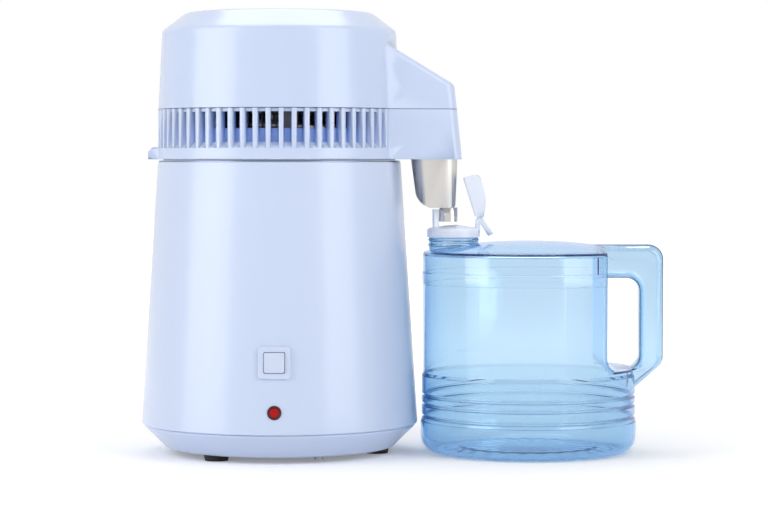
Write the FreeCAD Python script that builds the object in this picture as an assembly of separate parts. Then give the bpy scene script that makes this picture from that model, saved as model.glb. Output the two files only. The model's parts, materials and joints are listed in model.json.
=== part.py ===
# Countertop water distiller with its collecting jug, in millimetres, +Z up.
# Everything is modelled about the machine's own upright axis: front is -Y, the spout and the jug are
# on +X. At export it moves sideways, so that the origin is under the middle of the whole object.
import FreeCAD
import Part
import os
from math import asin, atan2, ceil, cos, degrees, hypot, radians, sin, sqrt, tan

Vector = FreeCAD.Vector

# How far a shape that only cuts or trims runs past what it cuts
past = 10.0
beyond = 100.0

# Clearances
seat_gap = 0.3  # between bodies that rest on or pass each other
screw_gap = 0.1  # round a screw in its hole
sleeve_gap = 0.2  # round a tube, pin or housing in its own opening
running_gap = 0.05  # radial, shaft in its bearing

# Feet and base pan
foot_count = 3
foot_first_angle = -127.0
foot_circle_radius = 81.0
foot_radius = 10.5
foot_height = 5.0
foot_edge = 1.2
foot_screw_radius = 1.5
foot_screw_head_radius = 3.2
foot_screw_head_height = 1.6
foot_screw_length = 10.0
pan_wall = 2.0
pan_floor_radius = 94.0
pan_bowl_radius = 105.0
pan_bowl_rise = 11.0
pan_flange_radius = 112.0
pan_height = 19.7
pan_corner = 6.0
pan_vent_count = 18
pan_vent_radius = 58.0
pan_vent_length = 16.0
pan_vent_width = 3.0
boss_wall = 2.8

# Outer body
body_base_radius = 114.5
body_top_radius = 100.3
body_height = 216.0
body_wall = 1.2
body_base_lip = 5.0
body_corner = 1.0
tab_width = 16.0
tab_rise = 11.0
base_screw_circle_radius = 88.0
base_screw_radius = 1.6
base_screw_head_radius = 3.6
base_screw_head_height = 2.2

# Boiler pot, heater and what keeps it safe
pot_radius = 92.0
pot_wall = 1.0
pot_base_rise = 70.0
pot_corner = 14.0
pot_flange_reach = 6.6
heater_plate_radius = 72.0
heater_plate_height = 4.0
heater_ring_radius = 52.0
heater_tube_radius = 3.3
heater_gap_angle = 40.0
terminal_length = 22.0
strap_width = 9.0
strap_wall = 1.2
strap_foot = 8.0
stud_circle_radius = 64.0
stud_radius = 2.0
stud_length = 26.0
nut_radius = 3.7
nut_height = 3.2
shield_radius = 76.0
shield_wall = 0.8
shield_rim = 6.0
cutout_radius = 8.0
cutout_height = 7.0
cutout_cap_radius = 6.2
blade_width = 6.3
blade_wall = 0.8
blade_length = 9.0
bracket_width = 12.0
bracket_wall = 1.0

# Switch and lamp on the front
switch_rise = 57.5
switch_width = 25.8
switch_tall = 25.6
switch_corner = 2.5
bezel_wall = 1.6
bezel_rim = 4.4
button_gap = 0.4
button_proud = 1.4
button_travel = 2.0
switch_depth = 24.0
collar_depth = 9.0
plunger_radius = 3.0
plunger_length = 9.0
spring_wire_radius = 0.4
spring_radius = 4.4
spring_turns = 4
spring_length = 6.6
spring_seat_depth = 14.4
lamp_rise = 18.0
lamp_radius = 4.5
lamp_ring_radius = 5.7
lamp_ring_proud = 0.6
lamp_dome = 0.5
lamp_depth = 18.0
lamp_wall = 0.9

# Sockets at the back
inlet_rise = 37.0
inlet_turn = 180.0
inlet_width = 24.5
inlet_tall = 16.5
inlet_corner = 3.0
inlet_depth = 17.5
inlet_wall = 1.8
inlet_flange = 3.6
inlet_flange_wall = 1.4
pin_height = 4.0
pin_wall = 2.0
pin_pitch = 7.0
pin_length = 12.0
pin_drop = 2.0
socket_rise = 37.0
socket_turn = 205.0
socket_radius = 7.5
socket_wall = 1.6
socket_depth = 14.0
socket_flange = 2.2
plug_pin_radius = 1.0
plug_pin_pitch = 5.5
plug_pin_length = 8.0

# Head: louvre ring below, dome above, a spout on both
seam_gap = 1.0
rim_radius = 100.6
rim_height = 9.0
head_wall = 2.2
head_radius = 100.0
ledge_height = 6.0
ledge_depth = 7.0
screen_height = 10.0
louvre_height = 32.2
louvre_count = 60
louvre_width = 3.7
louvre_inset = 2.5
louvre_ring_depth = 6.0
louvre_ring_height = 3.0
tab_proud = 7.0
grip_tab_width = 34.0
grip_tab_height = 10.0
grip_tab_bevel = 4.0
dome_height = 64.3
dome_shoulder_radius = 96.6
bevel_height = 15.0
bevel_radius = 77.0
crown_height = 4.2
bevel_round = 5.0
crown_round = 9.0
vent_count = 30
vent_inner_radius = 24.0
vent_outer_radius = 56.0
vent_width = 3.2
spout_root_half = 39.0
spout_nose_half = 24.5
spout_reach = 150.8
spout_taper = 0.105
spout_round = 9.0
spout_root_x = 70.0
spout_top_root_z = 46.6
spout_top_nose_z = 20.0
spout_top_nose_reach = 144.2
spout_edge_round = 5.0
spout_floor = 2.0
dock_half_angle = 9.0
dock_height = 30.0
dock_proud = 3.0
head_screw_count = 4
head_screw_first_angle = 45.0
head_screw_circle_radius = 87.0
head_screw_radius = 1.5
head_screw_head_radius = 3.0
head_screw_head_height = 2.0
head_screw_length = 14.0

# Steam lid, gasket and condenser
gasket_height = 1.9
gasket_width = 8.0
lid_radius = 96.0
lid_wall = 1.0
lid_rise = 8.0
lid_slope_radius = 84.0
lid_top_radius = 77.0
lid_screw_count = 3
lid_screw_first_angle = 70.0
lid_screw_circle_radius = 89.6
lid_screw_length = 9.0
lid_boss_radius = 3.6
coil_radius = 58.0
coil_tube_radius = 4.75
coil_tube_wall = 0.8
coil_pitch = 14.0
coil_whole_turns = 3
coil_runs_per_turn = 4
coil_base_rise = 14.0
coil_top_bend = 20.0
coil_drain_bend = 20.0
riser_x = -8.0
riser_bend = 12.0
drain_shift = 12.0
drain_bend = 12.0
drain_end_rise = 4.0
fin_wall = 0.6
fin_inner_radius = 50.5
fin_outer_radius = 67.0
fin_pitch_angle = 10.0
fin_margin = 5.0
post_count = 3
post_first_angle = 40.0
post_width = 12.0
post_wall = 3.0
post_foot = 9.0
collar_wall = 2.2
collar_height = 5.0

# Fan
fan_plate_wall = 1.6
fan_plate_arm = 12.0
fan_plate_hub_radius = 29.0
motor_radius = 24.0
motor_height = 21.0
motor_screw_circle_radius = 27.0
motor_ear_radius = 4.0
motor_ear_height = 3.0
motor_screw_radius = 1.5
shaft_radius = 2.0
shaft_length = 26.0
hub_radius = 14.0
hub_height = 12.0
blade_count = 5
blade_reach = 66.0
blade_chord = 30.0
fan_blade_wall = 1.8
blade_angle = 25.0
fan_lift = 2.0

# Outlet cup under the spout, with its nozzle and filter
cup_nose_gap = 3.6
cup_length = 38.2
cup_half_width = 18.0
cup_taper = 0.045
cup_drop = 39.9
cup_wall = 0.8
cup_corner = 12.0
cup_heel = 15.0
cup_toe = 2.5
cup_flange = 3.0
cup_gasket_height = 1.5
nozzle_inset = 7.2
nozzle_radius = 7.7
nozzle_wall = 0.9
nozzle_length = 11.8
spigot_shift = 2.8
spigot_radius = 4.4
filter_gap = 0.3
filter_height = 20.0

# Jug
pour_gap = 1.7  # from the nozzle down to the cap's dome
jug_low_radius = 89.5
jug_middle_radius = 88.7
jug_high_radius = 87.5
jug_band_radius = 88.1
jug_crown = 8.8
jug_crown_middle_radius = 56.0
jug_crown_middle_rise = 5.6
jug_crown_top_radius = 20.0
jug_crown_round = 380.0
jug_wall = 2.0
jug_foot_z = 28.5
jug_foot_rise = 1.0
jug_step_z = 64.0
jug_step_rise = 3.0
jug_band_drop = 16.3
jug_band_height = 11.0
jug_band_rise = 1.2
jug_top_round = 3.0
jug_base_round = 14.0
jug_push_up = 3.0
jug_ring_width = 12.0
jug_ring_round = 3.0
jug_ring_flat = 5.0
jug_groove_zs = (48.4, 40.9, 31.0)
jug_groove_depth = 1.2
jug_groove_half = 1.6
grip_reach = 111.0
grip_root_reach = 40.0
grip_top_rise = 5.8
grip_split_shift = 2.0
grip_split_drop = 3.2
shoulder_split_drop = 6.8
grip_half_width = 17.0
grip_low_z = 75.0
grip_foot_z = 47.8
grip_foot_reach = 80.0
grip_round = 12.0
grip_edge_round = 7.0
hole_inner_reach = 61.0
hole_outer_reach = 91.4
hole_top_drop = 21.8
hole_low_z = 70.5
hole_round = 11.0
neck_shift = 4.3
neck_reach = 62.1
neck_radius = 20.4
neck_wall = 2.2
neck_rise = 14.7
neck_thread_proud = 0.9
neck_thread_height = 2.0
neck_thread_drops = (5.2, 9.4)

# Cap of the jug, with its hinged flap
cap_radius = 22.2
cap_skirt_drop = 3.0
cap_shoulder_rise = 4.5
cap_dome = 3.6
cap_round = 3.0
liner_height = 1.2
pour_hole_radius = 8.1
lip_wall = 5.2
lip_half_angle = 28.0
lip_rise = 15.4
hinge_reach = 20.7
hinge_rise = 5.2
hinge_pin_radius = 1.2
hinge_ear_wall = 2.6
hinge_ear_radius = 2.6
knuckle_half_width = 7.0
flap_half_width = 12.0
flap_wall = 1.5
flap_mouth = 9.0
flap_tip_back = 12.6
flap_tip_rise = 36.6
flap_top_reach = 0.6
flap_top_rise = 39.8
flap_back_reach = 6.2
flap_back_rise = 17.7
flap_heel_reach = 3.8
flap_heel_rise = 2.0
flap_foot_rise = 4.4
flap_round = 4.0
lever_reach = 11.2
lever_drop = 12.0
lever_wall = 4.4
lever_half_width = 7.0

# Heights and places that follow from the sizes above
pan_floor_z = foot_height
pan_top_z = pan_floor_z + pan_height
body_base_z = pan_top_z + seat_gap
body_top_z = body_base_z + body_height
pot_top_z = body_top_z + pot_wall
pot_base_z = body_base_z + pot_base_rise
switch_height = body_base_z + switch_rise
lamp_height = body_base_z + lamp_rise
inlet_height = body_base_z + inlet_rise
socket_height = body_base_z + socket_rise
heater_plate_z = pot_base_z - heater_plate_height
cutout_cap_z = heater_plate_z - seat_gap
element_z = heater_plate_z - heater_tube_radius
shield_z = heater_plate_z - stud_length + nut_height * 2
head_base_z = pot_top_z + seam_gap
rim_top_z = head_base_z + rim_height
ledge_top_z = rim_top_z + ledge_height
screen_radius = head_radius - ledge_depth
dome_base_z = rim_top_z + louvre_height
shoulder_z = dome_base_z + dome_height
bevel_top_z = shoulder_z + bevel_height
crown_z = bevel_top_z + crown_height
gasket_base_z = pot_top_z + seat_gap
lid_flange_z = gasket_base_z + gasket_height
lid_top_z = lid_flange_z + lid_wall + lid_rise
coil_base_z = lid_top_z + coil_base_rise
drain_angle = -degrees(asin(coil_drain_bend / (coil_radius + coil_drain_bend)))
top_bend_x = -sqrt((coil_radius - coil_top_bend) ** 2 - coil_top_bend**2)
top_angle = degrees(atan2(-coil_top_bend, top_bend_x))
coil_turns = coil_whole_turns + (drain_angle - top_angle) / 360.0
coil_top_z = coil_base_z + coil_turns * coil_pitch
fan_plate_z = coil_top_z + coil_tube_radius + 3.0
motor_z = fan_plate_z + fan_plate_wall
hub_z = motor_z + motor_height + fan_lift
shaft_base_z = hub_z + hub_height - shaft_length
post_radius = coil_radius + coil_tube_radius + sleeve_gap
cup_seat_z = head_base_z + spout_floor
cup_rim_z = cup_seat_z + cup_gasket_height + cup_wall
cup_base_z = head_base_z - cup_drop
nozzle_end_z = cup_base_z - nozzle_length
cup_right_x = spout_reach - cup_nose_gap
cup_left_x = cup_right_x - cup_length
nozzle_x = cup_right_x - nozzle_inset
spigot_x = nozzle_x - spigot_shift
drain_x = nozzle_x - drain_shift
neck_x = nozzle_x + neck_shift
jug_x = neck_x + neck_reach
cap_shoulder_z = nozzle_end_z - pour_gap - cap_dome
neck_top_z = cap_shoulder_z - cap_shoulder_rise
cap_skirt_z = neck_top_z - cap_skirt_drop
jug_height = neck_top_z - neck_rise
jug_band_high_z = jug_height - jug_band_drop
jug_band_low_z = jug_band_high_z - jug_band_height
hole_top_z = jug_height - hole_top_drop
lip_top_z = cap_shoulder_z + lip_rise
hinge_x = neck_x + hinge_reach
hinge_z = cap_shoulder_z + hinge_rise
flap_tip_x = hinge_x - flap_tip_back
flap_tip_z = hinge_z + flap_tip_rise
flap_top_x = hinge_x + flap_top_reach
flap_top_z = hinge_z + flap_top_rise
flap_back_x = hinge_x + flap_back_reach
flap_back_z = hinge_z + flap_back_rise
flap_heel_x = hinge_x + flap_heel_reach
flap_heel_z = hinge_z + flap_heel_rise
flap_foot_z = hinge_z + flap_foot_rise
lever_end_x = hinge_x + lever_reach
lever_end_z = hinge_z - lever_drop
spring_base_depth = spring_seat_depth - button_travel - seat_gap - spring_length
wall_tilt = degrees(atan2(body_base_radius - body_top_radius, body_height))
object_low_x = -body_base_radius
object_high_x = jug_x + grip_reach
to_frame = Vector(-(object_low_x + object_high_x) / 2, 0, 0)


def flat(a, b):
    """Point of a plan drawing."""
    return Vector(a, b, 0)


def upright(a, b):
    """Point of a drawing in the XZ plane."""
    return Vector(a, 0, b)


def outline(corners, place):
    """Closed wire through (a, b, radius) corners, each rounded by a tangent arc where it has a radius."""
    bends = []
    for index, (a, b, radius) in enumerate(corners):
        here = flat(a, b)
        before = flat(*corners[index - 1][:2]) - here
        after = flat(*corners[(index + 1) % len(corners)][:2]) - here
        before.normalize()
        after.normalize()
        if radius <= 0:
            bends.append((here, None, here))
            continue
        half = before.getAngle(after) / 2
        middle = before + after
        middle.normalize()
        reach = radius / tan(half)
        crown = here + middle * (radius / sin(half) - radius)
        bends.append((here + before * reach, crown, here + after * reach))
    edges = []
    for index, (start, middle, end) in enumerate(bends):
        if middle is not None:
            arc = [place(point.x, point.y) for point in (start, middle, end)]
            edges.append(Part.Arc(*arc).toShape())
        following = bends[(index + 1) % len(bends)][0]
        if (following - end).Length > 1e-6:
            edges.append(Part.LineSegment(place(end.x, end.y), place(following.x, following.y)).toShape())
    return Part.Wire(Part.__sortEdges__(edges))


def turned(corners):
    """Solid of revolution about the Z axis of a closed (radius, height, corner radius) profile."""
    face = Part.Face(outline(corners, upright))
    return face.revolve(Vector(0, 0, 0), Vector(0, 0, 1), 360)


def plate(corners, low, high):
    """Plan outline extruded from one height to another."""
    face = Part.Face(outline(corners, flat))
    solid = face.extrude(Vector(0, 0, high - low))
    solid.translate(Vector(0, 0, low))
    return solid


def slab(corners, half_width):
    """Outline in the XZ plane extruded to both sides of Y = 0."""
    face = Part.Face(outline(corners, upright))
    solid = face.extrude(Vector(0, 2 * half_width, 0))
    solid.translate(Vector(0, -half_width, 0))
    return solid


def block(low_x, high_x, low_y, high_y, low_z, high_z):
    """Box between two corners."""
    return Part.makeBox(high_x - low_x, high_y - low_y, high_z - low_z, Vector(low_x, low_y, low_z))


def rod(radius, low, high, x=0.0, y=0.0):
    """Upright cylinder."""
    return Part.makeCylinder(radius, high - low, Vector(x, y, low))


def tube(outer, inner, low, high, x=0.0, y=0.0):
    """Upright tube."""
    return rod(outer, low, high, x, y).cut(rod(inner, low, high, x, y))


def round_box(width, tall, low, high, radius):
    """Box round the Y axis with rounded upright outline, from one Y to another."""
    half = width / 2
    rise = tall / 2
    corners = [(-half, -rise, radius), (half, -rise, radius), (half, rise, radius), (-half, rise, radius)]
    solid = Part.Face(outline(corners, upright)).extrude(Vector(0, high - low, 0))
    solid.translate(Vector(0, low, 0))
    return solid


def spun(shape, angle):
    """Copy turned about the machine's axis."""
    copy = shape.copy()
    copy.rotate(Vector(0, 0, 0), Vector(0, 0, 1), angle)
    return copy


def moved(shape, x, y, z):
    """Copy shifted."""
    copy = shape.copy()
    copy.translate(Vector(x, y, z))
    return copy


def ringed(shape, count, first_angle):
    """Copies spaced evenly about the machine's axis."""
    return [spun(shape, first_angle + index * 360.0 / count) for index in range(count)]


def body_radius(height):
    """Outer radius of the tapered body at a height."""
    share = (height - body_base_z) / body_height
    return body_base_radius + (body_top_radius - body_base_radius) * share


def wall_form(grow):
    """Solid under the body's tapered outer surface, grown outwards."""
    top = body_top_radius + grow
    base = body_base_radius + grow
    return turned([(0, body_base_z, 0), (base, body_base_z, 0), (top, body_top_z, 0), (0, body_top_z, 0)])


def on_wall(shape, height, turn=0.0):
    """Puts a shape drawn round the origin, -Y outwards, square on the body's tapered wall."""
    copy = shape.copy()
    copy.rotate(Vector(0, 0, 0), Vector(1, 0, 0), -wall_tilt)
    copy.translate(Vector(0, -body_radius(height), height))
    return spun(copy, turn)


def wall_flange(shape, height, turn=0.0):
    """Flange that reaches into the wall, trimmed so that its back follows the wall."""
    return on_wall(shape, height, turn).cut(wall_form(running_gap))


def polar(radius, angle):
    """Plan point at a radius and an angle in degrees."""
    return radius * cos(radians(angle)), radius * sin(radians(angle))


# Feet and base

foot_angles = [foot_first_angle + index * 360.0 / foot_count for index in range(foot_count)]
tab_first_angle = foot_first_angle + 180.0 / foot_count
foot_screw_base_z = foot_height * 0.4
tab_z = body_base_z + tab_rise


def rubber_feet():
    corners = [
        (0, 0, 0),
        (foot_radius - foot_edge, 0, 0),
        (foot_radius, foot_height, 0),
        (0, foot_height, 0),
    ]
    foot = turned(corners)
    foot = foot.cut(rod(foot_screw_radius + screw_gap, 0, foot_height))
    foot = foot.cut(rod(foot_screw_head_radius + sleeve_gap, 0, foot_screw_base_z + foot_screw_head_height))
    return [moved(foot, *polar(foot_circle_radius, angle), 0) for angle in foot_angles]


def foot_screws():
    head_top = foot_screw_base_z + foot_screw_head_height
    screw = rod(foot_screw_head_radius, foot_screw_base_z, head_top)
    screw = screw.fuse(rod(foot_screw_radius, head_top, foot_screw_base_z + foot_screw_length))
    return [moved(screw, *polar(foot_circle_radius, angle), 0) for angle in foot_angles]


def base_pan():
    outer = [
        (0, pan_floor_z, 0),
        (pan_floor_radius, pan_floor_z, pan_corner),
        (pan_bowl_radius, pan_floor_z + pan_bowl_rise, pan_corner),
        (pan_flange_radius, pan_top_z - pan_wall, pan_wall / 2),
        (pan_flange_radius, pan_top_z, pan_wall / 3),
        (pan_flange_radius - body_base_lip * 2, pan_top_z, 0),
        (pan_bowl_radius - pan_wall * 1.6, pan_floor_z + pan_bowl_rise + pan_wall, 0),
        (pan_floor_radius - pan_wall / 2, pan_floor_z + pan_wall, 0),
        (0, pan_floor_z + pan_wall, 0),
    ]
    pan = turned(outer)
    foot_boss = rod(foot_screw_radius + boss_wall, pan_floor_z, foot_screw_base_z + foot_screw_length + 1)
    foot_boss = moved(foot_boss, foot_circle_radius, 0, 0)
    foot_hole = rod(foot_screw_radius + screw_gap, pan_floor_z, foot_screw_base_z + foot_screw_length)
    foot_hole = moved(foot_hole, foot_circle_radius, 0, 0)
    screw_boss = rod(base_screw_radius + boss_wall, pan_floor_z, tab_z, base_screw_circle_radius)
    screw_hole = rod(base_screw_radius + screw_gap, 0, tab_z, base_screw_circle_radius)
    pan = pan.fuse(ringed(foot_boss, foot_count, foot_first_angle))
    pan = pan.fuse(ringed(screw_boss, foot_count, tab_first_angle))
    pan = pan.cut(Part.makeCompound(ringed(foot_hole, foot_count, foot_first_angle)))
    pan = pan.cut(Part.makeCompound(ringed(screw_hole, foot_count, tab_first_angle)))
    half = pan_vent_width / 2
    vent = block(
        pan_vent_radius - pan_vent_length / 2,
        pan_vent_radius + pan_vent_length / 2,
        -half,
        half,
        0,
        pan_floor_z + pan_wall,
    )
    return [pan.cut(Part.makeCompound(ringed(vent, pan_vent_count, foot_first_angle)))]


def base_screws():
    head = rod(base_screw_head_radius, pan_floor_z - base_screw_head_height, pan_floor_z)
    screw = head.fuse(rod(base_screw_radius, pan_floor_z, tab_z + body_wall * 3))
    return ringed(moved(screw, base_screw_circle_radius, 0, 0), foot_count, tab_first_angle)


def outer_body():
    lip = pot_radius + pot_wall + sleeve_gap
    low = body_radius(body_base_z)
    corners = [
        (low - body_base_lip, body_base_z, 0),
        (low, body_base_z, body_corner),
        (body_top_radius, body_top_z, body_corner),
        (lip, body_top_z, 0),
        (lip, body_top_z - body_wall, 0),
        (body_top_radius - body_wall, body_top_z - body_wall, 0),
        (low - body_wall, body_base_z + body_wall, 0),
        (low - body_base_lip, body_base_z + body_wall, 0),
    ]
    shell = turned(corners)
    inner = base_screw_circle_radius - base_screw_head_radius - 2
    reach = body_radius(tab_z) - body_wall / 2
    lug = block(inner, reach, -tab_width / 2, tab_width / 2, tab_z, tab_z + body_wall)
    lug = lug.cut(moved(rod(base_screw_radius + screw_gap, 0, tab_z + past), base_screw_circle_radius, 0, 0))
    lug = lug.common(wall_form(-body_wall / 2))
    shell = shell.fuse(ringed(lug, foot_count, tab_first_angle))
    opening_width = switch_width - 2 * bezel_wall + 2 * sleeve_gap
    opening_tall = switch_tall - 2 * bezel_wall + 2 * sleeve_gap
    switch_hole = round_box(opening_width, opening_tall, -past, past, switch_corner)
    shell = shell.cut(on_wall(switch_hole, switch_height))
    lamp_hole = turned_along_y(lamp_radius + sleeve_gap, -past, past)
    shell = shell.cut(on_wall(lamp_hole, lamp_height))
    inlet_outer = (inlet_wall + sleeve_gap) * 2
    inlet_hole = round_box(inlet_width + inlet_outer, inlet_tall + inlet_outer, -past, past, inlet_corner)
    shell = shell.cut(on_wall(inlet_hole, inlet_height, inlet_turn))
    socket_hole = turned_along_y(socket_radius + sleeve_gap, -past, past)
    return [shell.cut(on_wall(socket_hole, socket_height, socket_turn))]


# Boiler

def boiler_pot():
    outer = pot_radius + pot_wall
    flange = pot_radius + pot_wall + pot_flange_reach
    corners = [
        (0, pot_base_z, 0),
        (outer, pot_base_z, pot_corner),
        (outer, pot_top_z - pot_wall, 0),
        (flange, pot_top_z - pot_wall, 0),
        (flange, pot_top_z, 0),
        (pot_radius, pot_top_z, 0),
        (pot_radius, pot_base_z + pot_wall, pot_corner - pot_wall),
        (0, pot_base_z + pot_wall, 0),
    ]
    return [turned(corners)]


def heater_plate():
    disc = tube(heater_plate_radius, cutout_cap_radius + sleeve_gap, heater_plate_z, pot_base_z)
    stud_hole = moved(rod(stud_radius, heater_plate_z, pot_base_z), stud_circle_radius, 0, 0)
    return [disc.cut(Part.makeCompound(ringed(stud_hole, 3, 0)))]


def arc_tube(radius, ring_radius, height, first_angle, last_angle):
    """Round tube bent about the machine's axis, from one angle to another."""
    circle = Part.Wire(Part.makeCircle(radius, Vector(ring_radius, 0, height), Vector(0, 1, 0)))
    solid = Part.Face(circle).revolve(Vector(0, 0, 0), Vector(0, 0, 1), last_angle - first_angle)
    return spun(solid, first_angle)


def blade(x, y, low, high):
    """Flat terminal blade on the Z direction."""
    return block(x - blade_wall / 2, x + blade_wall / 2, y - blade_width / 2, y + blade_width / 2, low, high)


def heating_element():
    first = -90 + heater_gap_angle / 2
    ring = arc_tube(heater_tube_radius, heater_ring_radius, element_z, first, first + 360 - heater_gap_angle)
    for angle in (first, first - heater_gap_angle):
        x, y = polar(heater_ring_radius, angle)
        ring = ring.fuse(Part.makeSphere(heater_tube_radius, Vector(x, y, element_z)))
        ring = ring.fuse(rod(heater_tube_radius, element_z - terminal_length, element_z, x, y))
        tip = element_z - terminal_length
        ring = ring.fuse(blade(x, y, tip - blade_length, tip))
    return [ring]


def heater_straps():
    bow = strap_width**2 / 8 / heater_ring_radius
    inner = heater_tube_radius + sleeve_gap + bow
    outer = inner + strap_wall
    low = element_z - outer
    corners = [
        (-outer, low, outer * 0.6),
        (outer, low, outer * 0.6),
        (outer, heater_plate_z - strap_wall, 0),
        (outer + strap_foot, heater_plate_z - strap_wall, 0),
        (outer + strap_foot, heater_plate_z, 0),
        (inner, heater_plate_z, 0),
        (inner, low + strap_wall, inner * 0.6),
        (-inner, low + strap_wall, inner * 0.6),
        (-inner, heater_plate_z, 0),
        (-outer, heater_plate_z, 0),
    ]
    strap = moved(slab(corners, strap_width / 2), heater_ring_radius, 0, 0)
    strap = strap.cut(moved(rod(stud_radius + screw_gap, 0, pot_base_z), stud_circle_radius, 0, 0))
    return ringed(strap, 3, 0)


def heater_studs():
    stud = rod(stud_radius, heater_plate_z - stud_length, pot_base_z)
    return ringed(moved(stud, stud_circle_radius, 0, 0), 3, 0)


def hex_nut(low):
    """Nut round the stud radius, standing on a height."""
    corners = [(*polar(nut_radius, 60 * index), 0) for index in range(6)]
    return plate(corners, low, low + nut_height).cut(rod(stud_radius, low, low + nut_height))


def heater_nuts():
    under_strap = hex_nut(heater_plate_z - strap_wall - nut_height)
    under_shield = hex_nut(shield_z - nut_height)
    nuts = ringed(moved(under_strap, stud_circle_radius, 0, 0), 3, 0)
    return nuts + ringed(moved(under_shield, stud_circle_radius, 0, 0), 3, 0)


def heat_shield():
    corners = [
        (cutout_radius + blade_length, shield_z, 0),
        (shield_radius - shield_wall, shield_z, 2.0),
        (shield_radius, shield_z - shield_rim, 0),
        (shield_radius + shield_wall, shield_z - shield_rim, 0),
        (shield_radius, shield_z + shield_wall, 2.5),
        (cutout_radius + blade_length, shield_z + shield_wall, 0),
    ]
    shield = turned(corners)
    stud_hole = moved(rod(stud_radius + screw_gap, 0, pot_base_z), stud_circle_radius, 0, 0)
    shield = shield.cut(Part.makeCompound(ringed(stud_hole, 3, 0)))
    for angle in (-90 + heater_gap_angle / 2, -90 - heater_gap_angle / 2):
        shield = shield.cut(rod(heater_tube_radius + 2, 0, pot_base_z, *polar(heater_ring_radius, angle)))
    return [shield]


def shield_spacers():
    high = heater_plate_z - strap_wall - nut_height
    spacer = tube(stud_radius + 1.6, stud_radius + screw_gap, shield_z + shield_wall, high)
    return ringed(moved(spacer, stud_circle_radius, 0, 0), 3, 0)


def thermal_cutout():
    low = cutout_cap_z - cutout_height
    cutout = rod(cutout_cap_radius, cutout_cap_z, pot_base_z)
    cutout = cutout.fuse(rod(cutout_radius, low, cutout_cap_z))
    for side in (-1, 1):
        x = side * cutout_radius * 0.55
        cutout = cutout.fuse(blade(x, 0, low - blade_length, low))
    return [cutout]


def cutout_bracket():
    low = cutout_cap_z - cutout_height
    reach = cutout_radius + 5 + bracket_width
    low_leg = low - bracket_wall
    corners = [
        (cutout_radius * 0.75, low_leg, 0),
        (cutout_radius + 5, low_leg, 0),
        (cutout_radius + 5, heater_plate_z - bracket_wall, 0),
        (reach, heater_plate_z - bracket_wall, 0),
        (reach, heater_plate_z, 0),
        (cutout_radius + 5 - bracket_wall, heater_plate_z, 0),
        (cutout_radius + 5 - bracket_wall, low, 0),
        (cutout_radius * 0.75, low, 0),
    ]
    leg = slab(corners, bracket_width / 2)
    return [leg, spun(leg, 180)]


# Switch and lamp

def switch_bezel():
    sleeve_width = switch_width - 2 * bezel_wall
    sleeve_tall = switch_tall - 2 * bezel_wall
    opening_width = switch_width - 2 * bezel_rim
    opening_tall = switch_tall - 2 * bezel_rim
    frame = round_box(switch_width, switch_tall, -bezel_wall, bezel_wall, switch_corner)
    sleeve = round_box(sleeve_width, sleeve_tall, -running_gap, collar_depth, switch_corner)
    opening = round_box(opening_width, opening_tall, -bezel_wall * 2, collar_depth * 2, switch_corner / 2)
    bezel = wall_flange(frame, switch_height).fuse(on_wall(sleeve, switch_height))
    return [bezel.cut(on_wall(opening, switch_height))]


def switch_button():
    width = switch_width - 2 * bezel_rim - 2 * button_gap
    tall = switch_tall - 2 * bezel_rim - 2 * button_gap
    low = -bezel_wall - button_proud
    key = round_box(width, tall, low, spring_base_depth, switch_corner / 2)
    key = key.fuse(turned_along_y(plunger_radius, 0, collar_depth + plunger_length))
    return [on_wall(key, switch_height)]


def turned_along_y(radius, low, high):
    """Cylinder on the Y axis."""
    return Part.makeCylinder(radius, high - low, Vector(0, low, 0), Vector(0, 1, 0))


def switch_body():
    width = switch_width - 2 * bezel_wall
    tall = switch_tall - 2 * bezel_wall
    housing = round_box(width, tall, collar_depth, switch_depth, 1.0)
    bore_depth = collar_depth + plunger_length + button_travel + seat_gap
    housing = housing.cut(turned_along_y(plunger_radius + seat_gap, collar_depth, bore_depth))
    pocket = turned_along_y(spring_radius + spring_wire_radius + sleeve_gap, collar_depth, spring_seat_depth)
    housing = housing.cut(pocket)
    for side in (-1, 1):
        x = side * width * 0.28
        leg = blade(x, 0, 0, blade_length)
        leg.rotate(Vector(0, 0, 0), Vector(1, 0, 0), -90)
        housing = housing.fuse(moved(leg, 0, switch_depth, 0))
    return [on_wall(housing, switch_height)]


def switch_spring():
    pitch = (spring_length - 2 * spring_wire_radius) / spring_turns
    helix = Part.makeHelix(pitch, pitch * spring_turns, spring_radius)
    wire = Part.Wire(helix)
    section = Part.Wire(Part.makeCircle(spring_wire_radius, Vector(spring_radius, 0, 0), Vector(0, 1, 0)))
    coil = wire.makePipeShell([section], True, True)
    coil.rotate(Vector(0, 0, 0), Vector(1, 0, 0), -90)
    coil.translate(Vector(0, spring_base_depth + spring_wire_radius, 0))
    return [on_wall(coil, switch_height)]


def lamp_ring():
    flange = turned_along_y(lamp_ring_radius, -lamp_ring_proud, lamp_ring_proud)
    sleeve = turned_along_y(lamp_radius, -running_gap * 2, lamp_depth)
    bore = turned_along_y(lamp_radius - lamp_wall, -lamp_ring_proud * 2, lamp_depth - lamp_wall * 2)
    ring = wall_flange(flange, lamp_height).fuse(on_wall(sleeve, lamp_height))
    ring = ring.cut(on_wall(bore, lamp_height))
    for side in (-1, 1):
        x = side * lamp_radius * 0.5
        leg = block(x - blade_wall / 2, x + blade_wall / 2, lamp_depth, lamp_depth + blade_length, -1.4, 1.4)
        ring = ring.fuse(on_wall(leg, lamp_height))
    return [ring]


def lamp_lens():
    radius = lamp_radius - lamp_wall
    height = lamp_dome
    ball = (radius**2 + height**2) / (2 * height)
    lens = turned_along_y(radius, -lamp_ring_proud - height, lamp_depth * 0.6)
    dome = Part.makeSphere(ball, Vector(0, -lamp_ring_proud - height + ball, 0))
    tail = turned_along_y(radius, -lamp_ring_proud, lamp_depth * 0.6)
    return [on_wall(lens.common(dome).fuse(tail), lamp_height)]


# Sockets

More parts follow.
